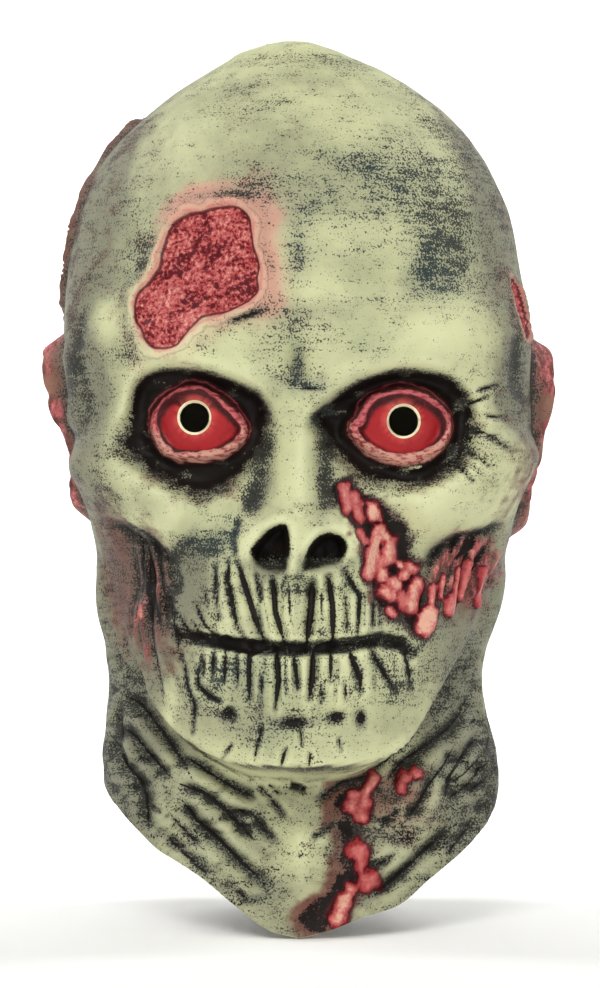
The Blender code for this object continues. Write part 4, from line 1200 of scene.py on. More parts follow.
def extruded(mesh: bmesh.types.BMesh, edges: list[bmesh.types.BMEdge]) -> tuple[list, list, list]:
    """Extrude edges in place.

    Args:
        mesh: Mesh that holds them.
        edges: Edges to extrude.

    Returns:
        The new vertices, the edges that join them, and the new faces.
    """
    grown = bmesh.ops.extrude_edge_only(mesh, edges=edges)["geom"]
    verts = [item for item in grown if isinstance(item, bmesh.types.BMVert)]
    fresh = set(verts)
    ends = [item for item in grown if isinstance(item, bmesh.types.BMEdge)
            and item.verts[0] in fresh and item.verts[1] in fresh]
    return verts, ends, [item for item in grown if isinstance(item, bmesh.types.BMFace)]


def bridge(mesh: bmesh.types.BMesh, edges: list[bmesh.types.BMEdge]) -> None:
    """Join two edge loops with faces of cut vinyl.

    Args:
        mesh: Mesh that holds them.
        edges: Edges of both loops.
    """
    for face in bmesh.ops.bridge_loops(mesh, edges=edges)["faces"]:
        face.material_index = Slot.CUT


def placed(mesh: bmesh.types.BMesh, name: str) -> bpy.types.Object:
    """Turn a finished mesh into an object of the scene.

    Args:
        mesh: The mesh, which is freed.
        name: Name of the object and of its data.

    Returns:
        The object.
    """
    data = bpy.data.meshes.new(name)
    mesh.to_mesh(data)
    mesh.free()
    made = bpy.data.objects.new(name, data)
    bpy.context.scene.collection.objects.link(made)
    return made


class Sheet:
    """Square crown patch whose edge loop is extruded down row by row."""

    # Share of the rows from the crown patch down, and the share dropped there.
    spacing = ((0.20, 0.285), (0.80, 0.80), (1.0, 1.0))

    def __init__(self, mesh: bmesh.types.BMesh, cells: int, rows: int) -> None:
        """Grow the sheet, still flat.

        Args:
            mesh: Mesh to grow in.
            cells: Cells across the crown patch.
            rows: Rows from the patch to the rim.
        """
        made = bmesh.ops.create_grid(mesh, x_segments=cells, y_segments=cells, size=1.0)
        self.verts = list(made["verts"])
        loop = list(dict.fromkeys(edge for vert in self.verts for edge in vert.link_edges
                                  if edge.is_boundary))
        for row in range(1, rows + 1):
            verts, loop, _ = extruded(mesh, loop)
            for vert in verts:
                vert.co.z = -row / rows
            self.verts += verts
        self.flat = np.array([vert.co[:] for vert in self.verts])

    def keys(self, cells: int, rows: int) -> list[tuple[int, int, int]]:
        """Whole-number places of the vertices on a sheet of the given fineness."""
        scaled = np.rint(self.flat * (cells / 2, cells / 2, rows)).astype(int)
        return [tuple(row) for row in scaled.tolist()]

    def angles(self, skull: Skull, reach: float, packing: float) -> tuple[np.ndarray, np.ndarray]:
        """Spread the vertices over the skull.

        Args:
            skull: The skull, for its trimmed edge.
            reach: Square root of the share dropped at the edge of the crown patch.
            packing: How far the columns are drawn toward the face, in radians.

        Returns:
            Angle from the nose and square root of the share dropped, for each vertex.
        """
        flat = self.flat
        x = flat[:, 0] * np.sqrt(1.0 - flat[:, 1] ** 2 / 2.0)
        y = flat[:, 1] * np.sqrt(1.0 - flat[:, 0] ** 2 / 2.0)
        turn = np.arctan2(x, -y)
        turn = turn - packing * smooth_step(0.0, 0.4, -flat[:, 2]) * np.sin(turn)
        root = reach * np.hypot(x, y)
        rows = np.array(((0.0, reach**2),) + self.spacing)
        drop = np.interp(-flat[:, 2], rows[:, 0], rows[:, 1])
        lower = smooth_step(0.5, 1.0, -flat[:, 2])
        skirt = np.sqrt(drop) + (skull.rim_root(turn) - 1.0) * lower
        return turn, np.where(flat[:, 2] < 0, skirt, root)

    def move(self, points: np.ndarray) -> None:
        """Put the vertices at their points."""
        for vert, point in zip(self.verts, points):
            vert.co = point


def lowest_near(values: np.ndarray, pairs: np.ndarray, rounds: int) -> np.ndarray:
    """Carry the lowest value along the edges of a sheet.

    Args:
        values: One value for each vertex.
        pairs: Vertices joined by an edge.
        rounds: How many edges far.

    Returns:
        The new values.
    """
    for _ in range(rounds):
        lowest = values.copy()
        np.minimum.at(lowest, pairs[:, 0], values[pairs[:, 1]])
        np.minimum.at(lowest, pairs[:, 1], values[pairs[:, 0]])
        values = lowest
    return values


def averaged(values: np.ndarray, pairs: np.ndarray, rounds: int) -> np.ndarray:
    """Soften values along the edges of a sheet.

    Args:
        values: One value for each vertex.
        pairs: Vertices joined by an edge.
        rounds: How many edges far.

    Returns:
        The new values.
    """
    count = np.bincount(pairs.ravel(), minlength=len(values))
    for _ in range(rounds):
        total = np.bincount(pairs[:, 0], values[pairs[:, 1]], len(values))
        total += np.bincount(pairs[:, 1], values[pairs[:, 0]], len(values))
        values = 0.5 * values + 0.5 * total / count
    return values


def add_node(tree: bpy.types.NodeTree, kind: str, settings: dict[str, object] | None = None,
             **inputs: object) -> bpy.types.Node:
    """Add a node, set it and link it.

    Args:
        tree: Node tree to add to.
        kind: Blender's name of the node type, after "ShaderNode".
        settings: Properties to set.
        **inputs: Values, tones or sockets by input name with _ for a space, or in_N for the
            input at place N.

    Returns:
        The node.
    """
    node = tree.nodes.new("ShaderNode" + kind)
    for name, value in (settings or {}).items():
        setattr(node, name, value)
    for name, value in inputs.items():
        socket = node.inputs[int(name[3:]) if name.startswith("in_") else name.replace("_", " ")]
        if isinstance(value, bpy.types.NodeSocket):
            tree.links.new(value, socket)
        else:
            socket.default_value = linear(value) if isinstance(value, Tone) else value
    return node


class Bench:
    """One material in the making, with the steps a mask painter repeats."""

    def __init__(self, name: str) -> None:
        """Start a material.

        Args:
            name: Name of the real material and of how its surface was made.
        """
        self.material = bpy.data.materials.new(name)
        self.material.use_nodes = True
        self.tree = self.material.node_tree
        self.tree.nodes.clear()
        self.place = add_node(self.tree, "TexCoord").outputs["Object"]

    def stipple(self, size: float, stretch: tuple[float, float, float] = (1.0, 1.0, 1.0),
                detail: float = 4.0, rough: float = 0.6,
                shift: float = 0.0) -> bpy.types.NodeSocket:
        """Random field, about 0.3 to 0.7, fixed to the casting.

        Args:
            size: Width of one lump of the field, in metres.
            stretch: Scale along each axis; below 1 draws the lumps out.
            detail: Finer layers under the first.
            rough: Strength of the finer layers.
            shift: Offset that gives a different field.

        Returns:
            The field.
        """
        moved = add_node(self.tree, "Mapping", None, Vector=self.place, Scale=stretch,
                         Location=(shift, shift, shift))
        return add_node(self.tree, "TexNoise", None, Vector=moved.outputs[0], Scale=1.0 / size,
                        Detail=detail, Roughness=rough).outputs[0]

    def weigh(self, *terms: tuple[bpy.types.NodeSocket, float],
              start: float = 0.0) -> bpy.types.NodeSocket:
        """Sum of weighted fields.

        Args:
            *terms: Each field with its weight.
            start: Value that the sum starts from.

        Returns:
            The sum.
        """
        total: object = start
        for value, weight in terms:
            total = add_node(self.tree, "Math", {"operation": "MULTIPLY_ADD"},
                             in_0=value, in_1=weight, in_2=total).outputs[0]
        return total

    def band(self, value: object, low: float, high: float, fade: float,
             share: float = 1.0) -> bpy.types.NodeSocket:
        """Share that is full between two values and fades outside them.

        Args:
            value: Field that is read.
            low: Where the band starts.
            high: Where it stops.
            fade: Width of the fade at each end.
            share: Share at the full width.

        Returns:
            The share.
        """
        rise = add_node(self.tree, "MapRange", {"interpolation_type": "SMOOTHSTEP"}, Value=value,
                        in_1=low - fade, in_2=low + fade, in_3=0.0, in_4=share)
        fall = add_node(self.tree, "MapRange", {"interpolation_type": "SMOOTHSTEP"}, Value=value,
                        in_1=high - fade, in_2=high + fade, in_3=1.0, in_4=0.0)
        return add_node(self.tree, "Math", {"operation": "MULTIPLY"}, in_0=rise.outputs[0],
                        in_1=fall.outputs[0]).outputs[0]

    def lay(self, under: object, paint: object, value: object, low: float = 0.0,
            high: float = 1.0, share: float = 1.0) -> bpy.types.NodeSocket:
        """Paint laid over a colour where a field rises.

        Args:
            under: Colour below.
            paint: Colour of the paint.
            value: Field that is read.
            low: Value where the paint starts.
            high: Value where it is full.
            share: How much of the paint covers at the most.

        Returns:
            The new colour.
        """
        rise = add_node(self.tree, "MapRange", {"interpolation_type": "SMOOTHSTEP"}, Value=value,
                        in_1=low, in_2=high, in_3=0.0, in_4=share)
        return add_node(self.tree, "Mix", {"data_type": "RGBA"}, in_0=rise.outputs[0], in_6=under,
                        in_7=paint).outputs[2]

    def finish(self, **inputs: object) -> bpy.types.Material:
        """Close the material with its shader.

        Args:
            **inputs: Values or sockets of the shader, by input name.

        Returns:
            The material.
        """
        shader = add_node(self.tree, "BsdfPrincipled", None, **inputs)
        add_node(self.tree, "OutputMaterial", None, Surface=shader.outputs[0])
        return self.material


@dataclass(frozen=True)
class PaintedVinyl:
    """Slush-cast soft vinyl, painted by hand.

    The eye sees a dull bone skin clouded with moss, dry-brushed soot in dragged specks, black
    ink wiped into every crease, glossier raw flesh, and painted shade in the dips and under the
    bones with painted highlight on the heights.
    """

    speck: float = 0.00080
    stroke: float = 0.0050
    drag: float = 0.0018
    blotch: float = 0.015
    cloud: float = 0.034
    pore: float = 0.0010
    sinew: float = 0.0032
    spot: float = 0.0016
    crumb: float = 0.0017
    clot: float = 0.009
    vein: float = 0.0030
    lid_fold: float = 0.0075
    streak: float = 0.0022
    # Height of the eyes as a share dropped.
    eye_line: float = 0.434

    def build(self) -> bpy.types.Material:
        """Build the painted skin.

        Returns:
            The material.
        """
        b = Bench("cast_vinyl_hand_painted")
        mask = {name: add_node(b.tree, "Attribute", {"attribute_name": name}).outputs["Fac"]
                for name in Coat.names}
        specks = b.stipple(self.speck, detail=2.0, rough=0.5)
        strokes = b.stipple(self.stroke, (0.5, 0.5, 1.0), 4.0, 0.5, 1.0)
        drags = b.stipple(self.drag, (0.10, 0.10, 1.0), 3.0, 0.6, 17.0)
        blotches = b.stipple(self.blotch, detail=6.0, rough=0.7, shift=2.0)
        clouds = b.stipple(self.cloud, detail=3.0, shift=4.0)
        broken = b.weigh((specks, 4.0), (drags, 1.7), (strokes, 1.0), (blotches, 1.7), start=-4.28)

        # Pale bone vinyl, clouded with moss where the pigment settled in the cast.
        colour = b.lay(Tone.BONE, Tone.MOSS, clouds, 0.40, 0.70, 0.60)
        # Pale where the vinyl was rubbed clean, and painted highlight on the raised forms.
        colour = b.lay(colour, Tone.PALE_RUB_AND_HIGHLIGHT, mask["bare"], 0.0, 1.0, 0.85)
        # Thin dirty wash, and painted shade, that runs into every dip and models the bones.
        wash_and_shade = b.weigh((mask["wash_and_shade"], 1.0), (blotches, 0.8), start=-0.4)
        colour = b.lay(colour, Tone.DIRTY_WASH_AND_SHADE, wash_and_shade, 0.0, 1.0, 0.88)
        # Red-brown stain that dries in patches.
        stain = b.weigh((mask["rust"], 1.0), (strokes, 1.2), (blotches, 1.2), start=-1.2)
        colour = b.lay(colour, Tone.RUST, stain, 0.15, 0.95, 0.92)
        # Sprayed blush around the wounds, soft at its edge.
        blush = b.weigh((mask["blush"], 1.0), (blotches, 0.8), start=-0.4)
        colour = b.lay(colour, Tone.BLUSH, blush, 0.05, 0.95, 0.85)
        # Sore skin: red-brown in the dips, pink above and flecked with pale.
        sinews = b.stipple(self.sinew, (1.0, 1.0, 0.45), 5.0, 0.7, 6.0)
        sore = b.lay(Tone.GORE, Tone.RUST, sinews, 0.30, 0.44)
        sore = b.lay(sore, Tone.LID, sinews, 0.44, 0.58, 0.85)
        sore = b.lay(sore, Tone.PEACH_AND_HIGHLIGHT, sinews, 0.56, 0.72, 0.75)
        raw = b.weigh((mask["sore"], 1.0), (strokes, 0.7), (blotches, 1.2), start=-0.95)
        colour = b.lay(colour, sore, raw, 0.25, 0.70, 0.92)
        # Soot, which also carries painted shade: a thin grey veil, and on it fine specks that close
        # up where the brush pressed.
        colour = b.lay(colour, Tone.GREY_VEIL_AND_SHADE, mask["soot_and_shade"], 0.05, 1.20, 0.45)
        soot_and_shade = b.lay(Tone.SOOT_SPECK_AND_SHADE, Tone.SLATE, mask["slate"], 0.1, 0.9, 0.9)
        colour = b.lay(colour, soot_and_shade, b.weigh((mask["soot_and_shade"], 0.95), (broken, 1.0)), 0.50, 1.08, 0.97)
        # Black ink wiped into hollows, with painted shade in the sockets, ear bowls and under the
        # brows;
        # its edge breaks up.
        wiped = b.weigh((mask["ink_and_shade"], 1.0), (broken, 0.30))
        colour = b.lay(colour, Tone.BLACK_INK_AND_SHADE, wiped, 0.34, 0.60, 1.0)
        # Crisp black lines run into the cuts with a fine brush.
        drawn = b.weigh((mask["cut"], 1.0), (broken, 0.22))
        colour = b.lay(colour, Tone.BLACK_INK_AND_SHADE, drawn, -0.28, 0.15, 0.98)
        colour = self.flesh(b, colour, mask)
        colour = self.gash(b, colour, mask["gash_in"])
        colour = self.eyes(b, colour, mask)

        # Flesh and eyeballs carry a coat of gloss that the dull skin lacks.
        wet = b.weigh((b.band(mask["knob"], 0.1, 9.0, 0.1), 0.6),
                      (b.band(mask["eye_in"], 0.0, 90.0, 0.4), 0.8))
        rough = b.weigh((wet, -0.34), (specks, 0.22), start=0.50)
        pores = b.stipple(self.pore, detail=3.0)
        bump = add_node(b.tree, "Bump", None, Strength=0.4, Distance=0.0008,
                        Height=b.weigh((pores, 0.35), (strokes, 1.0)))
        return b.finish(Base_Color=colour, Roughness=rough, IOR=1.5, Specular_IOR_Level=0.2,
                        Normal=bump.outputs[0])

    def flesh(self, b: Bench, colour: bpy.types.NodeSocket,
              mask: dict[str, bpy.types.NodeSocket]) -> bpy.types.NodeSocket:
        """Paint raw lumps: near-black at the root, crimson body, rose to peach on top.

        The dark root is partly painted shade, the pale top partly painted highlight.

        Args:
            b: The material in the making.
            colour: Colour so far.
            mask: The paint masks' sockets by name.

        Returns:
            The new colour.
        """
        mottle = b.stipple(self.sinew, detail=4.0, shift=5.0)
        spots = b.stipple(self.spot, detail=2.0, shift=15.0)
        # The lump's colour follows its height: dark at the root as painted shade, pale on top as
        # painted highlight, over the raw flesh's own reds.
        height = b.weigh((mask["knob"], 1.0), (mottle, 1.3), (spots, 0.8), start=-1.05)
        flesh = b.lay(Tone.GORE, Tone.CRIMSON, height, 0.00, 0.36)
        top = add_node(b.tree, "Math", {"operation": "MULTIPLY"}, in_0=height, in_1=mask["tone"])
        flesh = b.lay(flesh, Tone.ROSE, top.outputs[0], 0.14, 0.62)
        flesh = b.lay(flesh, Tone.PEACH_AND_HIGHLIGHT, top.outputs[0], 0.50, 0.85, 0.85)
        # A dark ring round each lump's foot, partly painted shade where the lump meets the skin.
        colour = b.lay(colour, Tone.GORE, mask["knob"], -0.75, -0.10, 0.85)
        return b.lay(colour, flesh, mask["knob"], -0.10, 0.10)

    def gash(self, b: Bench, colour: bpy.types.NodeSocket,
             inside: bpy.types.NodeSocket) -> bpy.types.NodeSocket:
        """Paint a raw patch: rosy lip, fine dark edge and a floor of crumbs and clots.

        Args:
            b: The material in the making.
            colour: Colour so far.
            inside: Depth inside the patch, in mm.

        Returns:
            The new colour.
        """
        crumbs = b.stipple(self.crumb, detail=3.0, rough=0.6, shift=8.0)
        clots = b.stipple(self.clot, detail=4.0, shift=9.0)
        ragged = b.weigh((inside, 1.0), (clots, 9.0), start=-4.5)
        # A dark ring outside the lip: dry-brushed soot, and partly painted shadow under the lip.
        colour = b.lay(colour, Tone.SOOT_SPECK_AND_SHADE, b.band(ragged, -4.3, -3.5, 0.5), share=0.28)
        colour = b.lay(colour, Tone.PEACH_AND_HIGHLIGHT, b.band(ragged, -2.4, 0.2, 0.9), share=0.30)
        colour = b.lay(colour, Tone.ROSE, b.band(ragged, -1.1, 0.2, 0.9), share=0.60)
        floor = b.lay(Tone.BLOOD, Tone.CRIMSON, clots, 0.38, 0.52)
        floor = b.lay(floor, Tone.ROSE, b.weigh((crumbs, 1.0), (clots, 0.5), start=-0.25),
                      0.44, 0.60, 0.80)
        floor = b.lay(floor, Tone.PEACH_AND_HIGHLIGHT, b.weigh((crumbs, 1.0), (clots, 0.4), start=-0.20),
                      0.58, 0.72, 0.70)
        floor = b.lay(floor, Tone.GORE, b.weigh((crumbs, 1.0), (clots, 0.7), start=-0.35),
                      0.49, 0.36, 0.90)
        colour = b.lay(colour, floor, inside, -0.4, 0.3)
        return b.lay(colour, Tone.GORE, b.band(inside, -0.45, 0.55, 0.35), share=0.85)

    def eyes(self, b: Bench, colour: bpy.types.NodeSocket,
             mask: dict[str, bpy.types.NodeSocket]) -> bpy.types.NodeSocket:
        """Paint the swollen lids, the bloodshot balls with painted lid shadow, and the pale flare
        round each pupil.

        Args:
            b: The material in the making.
            colour: Colour so far.
            mask: The paint masks' sockets by name.

        Returns:
            The new colour.
        """
        inside, far = mask["eye_in"], mask["eye_far"]
        # Millimetres above the middle of the eyes.
        above = add_node(b.tree, "SeparateXYZ", None, Vector=b.place).outputs[2]
        above = b.weigh((above, 1000.0), start=(self.eye_line * SIZES.height - SIZES.wall) * 1000)
        veins = b.stipple(self.vein, detail=6.0, rough=0.75, shift=11.0)
        folds = b.stipple(self.lid_fold, detail=2.0, rough=0.4, shift=12.0)
        streaks = b.stipple(self.streak, (0.5, 1.0, 1.4), 4.0, 0.65, 13.0)
        edge = b.weigh((inside, 1.0), (folds, 4.0), (streaks, 1.2), start=-2.6)
        low = b.weigh((above, -0.09), (folds, 1.4), (streaks, 3.2), start=-2.4)
        lid = b.lay(Tone.LID, Tone.LID_PALE, low, 0.10, 0.90, 0.70)
        lid = b.lay(lid, Tone.BLOOD, streaks, 0.53, 0.40, 0.85)
        # From the ball outwards: dark line, pink lid, dark fold, thin outer fold, black socket.
        colour = b.lay(colour, Tone.EYE_DARK_AND_SHADOW, b.band(inside, -6.0, 9.0, 1.2), share=0.97)
        colour = b.lay(colour, lid, b.band(edge, -5.3, -4.6, 0.5), share=0.45)
        fold = b.weigh((edge, 1.0), (above, -0.06))
        colour = b.lay(colour, lid, b.band(fold, -3.7, 9.0, 0.5), share=0.95)
        # The dark line under the lids is wider at the top: painted shadow of the upper lid.
        line = b.weigh((edge, 0.8), (above, 0.03))
        colour = b.lay(colour, Tone.EYE_DARK_AND_SHADOW, b.band(line, -0.9, 9.0, 0.4), share=0.96)
        # The ball darkens towards its edge and its top: painted shadow of the lids over the red
        # paint.
        shot = b.weigh((inside, 1.0), (veins, 3.0), (above, -0.14), start=-1.5)
        ball = b.lay(Tone.EYE_DARK_AND_SHADOW, Tone.EYE, shot, 0.3, 2.8)
        ball = b.lay(ball, Tone.EYE_PALE, far, 10.5, 7.2, 0.65)
        ball = b.lay(ball, Tone.BLOOD, veins, 0.48, 0.38, 0.45)
        return b.lay(colour, ball, inside, -0.25, 0.20)


@dataclass(frozen=True)
class InsideVinylInShade:
    """Unpainted inner face of the casting, faintly rippled and dull; its dark grey is painted
    shade.
    """

    ripple: float = 0.020
    dimple: float = 0.004

    def build(self) -> bpy.types.Material:
        """Build the inner skin's material.

        Returns:
            The material.
        """
        b = Bench("cast_vinyl_raw_inside_painted_shade")
        colour = b.lay(Tone.INSIDE_SHADE, Tone.DIRTY_WASH_AND_SHADE, b.stipple(self.ripple), 0.40, 0.80, 0.40)
        bump = add_node(b.tree, "Bump", None, Strength=0.2, Distance=0.001,
                        Height=b.stipple(self.dimple))
        return b.finish(Base_Color=colour, Roughness=0.7, IOR=1.5, Normal=bump.outputs[0])


@dataclass(frozen=True)
class CutVinyl:
    """Knife-cut edge of the vinyl: the cream of the stock, with faint drag marks."""

    drag: float = 0.002

    def build(self) -> bpy.types.Material:
        """Build the cut edges' material.

        Returns:
            The material.
        """
        b = Bench("cast_vinyl_cut_edge")
        colour = b.lay(Tone.RAW, Tone.BONE, b.stipple(self.drag), 0.50, 0.80, 0.50)
        return b.finish(Base_Color=colour, Roughness=0.5, IOR=1.5)


@dataclass(frozen=True)
class BackdropPaper:
    """Matt white background paper with a faint tooth.

    It is clear from its back, where it would hide the mask.
    """

    tooth: float = 0.0008

    def build(self) -> bpy.types.Material:
        """Build the paper's material.

        Returns:
            The material.
        """
        b = Bench("matt_background_paper")
        colour = b.lay(Tone.PAPER, Tone.PAPER_SHADE, b.stipple(self.tooth), 0.40, 0.90, 0.25)
        back = add_node(b.tree, "NewGeometry").outputs["Backfacing"]
        front = add_node(b.tree, "Math", {"operation": "SUBTRACT"}, in_0=1.0, in_1=back)
        return b.finish(Base_Color=colour, Roughness=0.9, Alpha=front.outputs[0])


@dataclass
class MaskSkin:
    """The whole casting: outer skin, inner skin, trimmed rim and the two sight holes."""

    # Strength in relief units, lump size in metres and seed of the cast's own unevenness.
    unevenness: Table = ((0.050, 0.032, 1), (0.018, 0.010, 2))
    # Rounds of averaging, then how strongly wash and painted shade settle in the dips and how
    # strongly the heights are painted pale as highlight.
    settling_and_shading: Table = ((8, 6.0, 4.0), (80, 1.6, 1.2))
    # Share of the height where the skull's middle lies, and how straight the face is pushed.
    middle: float = 0.45
    ahead: float = 0.85
    cells: int = 72
    rows: int = 244
    crown_reach: float = 0.30
    packing: float = 0.62
    # Half width of the region searched round a pupil, and how far past the hole's edge
    # vertices are taken out, both in metres.
    nearby: float = 0.02
    slack: float = 0.0002
    skull: Skull = field(default_factory=Skull)
    eyes: Eyes = field(default_factory=Eyes)

    def outward(self, base: np.ndarray, normals: np.ndarray) -> np.ndarray:
        """Turn the normals of the bare skull away from its middle.

        Args:
            base: Points of the bare skull.
            normals: Normals there, pointing either way.

        Returns:
            Unit normals.
        """
        normals = normals / np.linalg.norm(normals, axis=1)[:, None]
        middle = np.array([0.0, 0.0, -self.middle * SIZES.height])
        inward = np.sum(normals * (base - middle), axis=1) < 0
        return normals * np.where(inward, -1.0, 1.0)[:, None]

    def push(self, base: np.ndarray, outward: np.ndarray) -> np.ndarray:
        """Find the way that the relief is pushed: square to the skull, forward on the face.

        Args:
            base: Points of the bare skull.
            outward: Unit normals there.

        Returns:
            Unit directions.
        """
        drop = SIZES.wall - base[:, 2]
        facing = smooth_step(0.25, 0.80, -outward[:, 1]) * smooth_step(0.06, 0.14, drop)
        ahead = mix(outward, np.array([0.0, -1.0, 0.0]), self.ahead * facing[:, None])
        return ahead / np.linalg.norm(ahead, axis=1)[:, None]

    def sculpt(self, ground: Ground) -> None:
        """Carve and paint every feature.

        Args:
            ground: Where to carve and paint.
        """
        wounds = Wounds()
        for feature in (Bones(), self.eyes, Nose(), Mouth(), Neck(), wounds):
            feature.carve(ground)
        ground.relief *= ground.front
        wounds.carve_flanks(ground)
        GrimeAndShade().brush(ground)
        Ears().carve(ground)
        for strength, size, seed in self.unevenness:
            ground.relief += strength * grain(ground.base, size, seed)

    def settle_paint_and_shade(self, ground: Ground, pairs: np.ndarray) -> None:
        """Paint shade into the dips, with wash and soot, and paint the heights pale as highlight.

        Args:
            ground: Where to paint.
            pairs: Places joined by an edge.
        """
        for rounds, wash_and_shade, bare in self.settling_and_shading:
            # Dips of the relief are darkened as painted shade and its heights paled as painted
            # highlight.
            height = ground.relief - averaged(ground.relief, pairs, rounds)
            ground.add("wash_and_shade", np.clip(-height * wash_and_shade - 0.03, 0.0, 0.8))
            ground.add("soot_and_shade", np.clip(-height * wash_and_shade * 0.8 - 0.03, 0.0, 0.6))
            ground.add("bare", np.clip(height * bare - 0.03, 0.0, 0.9))
            ground.wipe("soot_and_shade", np.clip(height * bare - 0.03, 0.0, 0.6))

    def build(self) -> bpy.types.Object:
        """Build the piece.

        Returns:
            The finished object, dressed.
        """
        mesh = bmesh.new()
        layers = {name: mesh.verts.layers.float.new(name) for name in Coat.names}
        outer = Sheet(mesh, self.cells, self.rows)
        turn, root = outer.angles(self.skull, self.crown_reach, self.packing)
        base = self.skull.surface(turn, root)
        outer.move(base)
        mesh.normal_update()
        square = self.outward(base, np.array([vert.normal[:] for vert in outer.verts]))
        ahead = self.push(base, square)
        mesh.verts.index_update()
        pairs = np.array([[vert.index for vert in edge.verts] for edge in mesh.edges])

        ground = Ground(base, self.skull.jaw_drop(turn))
        self.sculpt(ground)
        # The relief dies away at the trimmed edge and under the jaw.
        trimmed = smooth_step(0.0, 0.012, self.skull.rim_root(turn) - root)
        upright = smooth_step(0.85, 0.45, -square[:, 2])
        ground.relief = ground.relief * mix(0.25, 1.0, trimmed) * mix(0.15, 1.0, upright)
        self.settle_paint_and_shade(ground, pairs)
        height = ground.relief * SIZES.relief
        outer.move(base + ahead * height[:, None])
        for name, layer in layers.items():
            for vert, value in zip(outer.verts, ground.masks[name].tolist()):
                vert[layer] = value

        inner = Sheet(mesh, self.cells // 2, self.rows // 2)
        keep = {key: i for i, key in enumerate(outer.keys(self.cells, self.rows))}
        match = np.array([keep[key] for key in inner.keys(self.cells, self.rows)])
        # The inner skin keeps the wall's depth below the lowest relief near it.
        lowest = lowest_near(height, pairs, 2)
        sunk = np.minimum(averaged(lowest_near(lowest, pairs, 2), pairs, 8), lowest)
        inner_points = base + ahead * sunk[:, None] - square * SIZES.wall
        inner.move(inner_points[match])
        for face in {face for vert in inner.verts for face in vert.link_faces}:
            face.material_index = Slot.RAW

        bridge(mesh, [edge for edge in mesh.edges if edge.is_boundary])
        for pupil in self.eyes.pupils:
            self.open_sight_hole(mesh, pupil)
        bmesh.ops.recalc_face_normals(mesh, faces=mesh.faces[:])
        for face in mesh.faces:
            face.smooth = True
        for edge in mesh.edges:
            edge.smooth = len({face.material_index for face in edge.link_faces}) == 1
        piece = placed(mesh, "mask_skin")
        for finish in (PaintedVinyl(), InsideVinylInShade(), CutVinyl()):
            piece.data.materials.append(finish.build())
        return piece

    def open_sight_hole(self, mesh: bmesh.types.BMesh, pupil: Path) -> None:
        """Cut one sight hole and bevel its lip.

        Args:
            mesh: The closed casting.
            pupil: Place of the hole, across and dropped.
        """
        across, dropped = (share / 1000 for share in pupil)
        x, z = across * SIZES.half_width, SIZES.wall - dropped * SIZES.height
        ring, bore = SIZES.pupil_ring / 2, SIZES.pupil_bore / 2
        near = [v for v in mesh.verts if v.co.y < -self.nearby * 2
                and abs(v.co.x - x) < self.nearby and abs(v.co.z - z) < self.nearby]
        loops = []
        for painted, radius in ((True, ring), (False, bore)):
            skin = [v for v in near if v.is_valid
                    and (v.link_faces[0].material_index == Slot.PAINTED) == painted]
            gone = [v for v in skin if math.hypot(v.co.x - x, v.co.z - z) < radius + self.slack]
            around = {other for v in gone for f in v.link_faces for other in f.verts} - set(gone)
            bmesh.ops.delete(mesh, geom=gone, context="VERTS")
            edge_verts = [v for v in mesh.verts if v in around and v.is_boundary]
            loop = dict.fromkeys(e for v in edge_verts for e in v.link_edges if e.is_boundary)
            for v in edge_verts:
                away = math.hypot(v.co.x - x, v.co.z - z)
                v.co.x = x + (v.co.x - x) * radius / away
                v.co.z = z + (v.co.z - z) * radius / away
            loops.append((list(loop), edge_verts))
        (lip_loop, lip_verts), (inner_loop, _) = loops
        lip = sum(v.co.y for v in lip_verts) / len(lip_verts)
        verts, throat, faces = extruded(mesh, lip_loop)
        for v in verts:
            v.co.x = x + (v.co.x - x) * bore / ring
            v.co.z = z + (v.co.z - z) * bore / ring
            v.co.y = lip + (ring - bore)
        for face in faces:
            face.material_index = Slot.CUT
        bridge(mesh, throat + inner_loop)


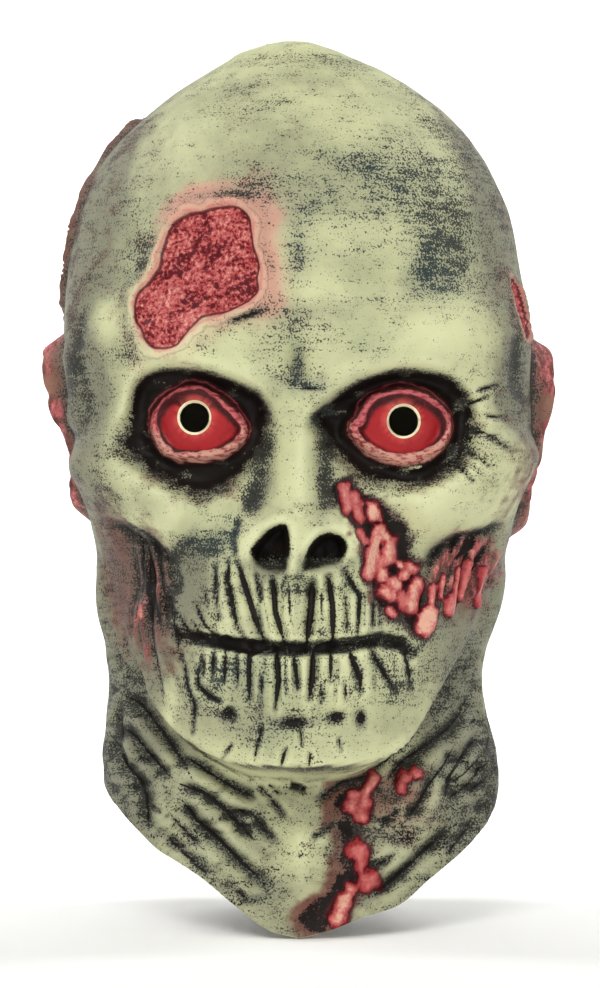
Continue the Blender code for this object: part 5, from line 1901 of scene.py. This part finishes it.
@dataclass
class Studio:
    """Pale paper sweep, soft lights and the camera of the photograph."""

    # The camera's distance, size of a pixel at the face, the eyes' plane and the crown's height
    # over the picture's middle, all in metres.
    camera_distance: float = 1.5
    pixel: float = 0.00043
    eye_plane: float = -0.020
    crown_to_axis: float = 0.1957
    image_height: int = 988
    sensor: float = 36.0
    # The sweep's width, its reach in front, the radius of its curve and its height, in metres.
    sweep_width: float = 5.0
    sweep_front: float = 2.5
    curve: float = 0.9
    curve_steps: int = 12
    wall_top: float = 3.0
    floor_gap: float = 0.0006
    room: float = 0.25
    # Name, place, aim, size and power of each soft light.
    lamps: tuple[tuple, ...] = (
        ("key_softbox", (-0.30, -1.45, 0.70), (0.0, 0.0, -0.19), 0.7, 14.0),
        ("fill_softbox", (0.50, -1.60, -0.05), (0.0, 0.0, -0.19), 0.8, 5.0),
        ("backdrop_left", (-1.1, 0.35, 0.9), (-0.5, 1.8, 0.0), 0.9, 26.0),
        ("backdrop_right", (1.1, 0.35, 0.9), (0.5, 1.8, 0.0), 0.9, 26.0),
    )

    def build(self) -> None:
        """Set up everything around the mask."""
        self.sweep()
        self.camera()
        self.lights()
        bpy.context.scene.view_settings.view_transform = "Standard"

    def sweep(self) -> None:
        """Floor that curves up into a backdrop."""
        mesh = bmesh.new()
        floor = SIZES.wall - SIZES.height - self.floor_gap
        curve = self.curve
        profile = [(-self.sweep_front, floor), (curve, floor)]
        for step in range(1, self.curve_steps + 1):
            turn = math.radians(90 * step / self.curve_steps)
            profile.append((curve + curve * math.sin(turn), floor + curve - curve * math.cos(turn)))
        profile.append((2 * curve, floor + self.wall_top))
        verts = [mesh.verts.new((-self.sweep_width / 2, y, z)) for y, z in profile]
        edges = [mesh.edges.new(pair) for pair in zip(verts[:-1], verts[1:])]
        moved, _, _ = extruded(mesh, edges)
        bmesh.ops.translate(mesh, verts=moved, vec=(self.sweep_width, 0, 0))
        mesh.normal_update()
        # The paper is clear from its back, so each face is turned to the mask's side.
        under = [face for face in mesh.faces if face.normal.z < 0 or face.normal.y > 0.5]
        bmesh.ops.reverse_faces(mesh, faces=under)
        sweep = placed(mesh, "paper_sweep")
        for face in sweep.data.polygons:
            face.use_smooth = True
        sweep.data.materials.append(BackdropPaper().build())

    def camera(self) -> None:
        """Camera straight in front, as the photograph was taken."""
        data = bpy.data.cameras.new("photo_camera")
        camera = bpy.data.objects.new("photo_camera", data)
        bpy.context.scene.collection.objects.link(camera)
        camera.location = (0.0, -self.camera_distance, SIZES.wall - self.crown_to_axis)
        camera.rotation_euler = (math.radians(90), 0.0, 0.0)
        data.sensor_width = self.sensor
        span = self.image_height * self.pixel
        data.lens = self.sensor * (self.camera_distance + self.eye_plane) / span
        data.clip_end = 20.0
        bpy.context.scene.camera = camera

    def lights(self) -> None:
        """Large soft boxes on the mask and on the paper, in an even white room."""
        for name, place, aim, size, power in self.lamps:
            data = bpy.data.lights.new(name, "AREA")
            data.shape = "SQUARE"
            data.size = size
            data.energy = power
            light = bpy.data.objects.new(name, data)
            light.location = place
            way = Vector(aim) - Vector(place)
            light.rotation_euler = way.to_track_quat("-Z", "Y").to_euler()
            bpy.context.scene.collection.objects.link(light)
        world = bpy.data.worlds.new("white_room")
        world.use_nodes = True
        back = world.node_tree.nodes["Background"]
        back.inputs["Color"].default_value = (1.0, 1.0, 1.0, 1.0)
        back.inputs["Strength"].default_value = self.room
        bpy.context.scene.world = world


def main() -> None:
    """Build every piece in order."""
    logging.basicConfig(level=logging.INFO)
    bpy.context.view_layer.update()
    skin = MaskSkin().build()
    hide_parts("mask_shell")
    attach(skin, "root")
    log.info("mask_skin: %d faces", len(skin.data.polygons))
    Studio().build()
    log.info("studio: sweep, camera and lights")


if __name__ == "__main__":
    main()
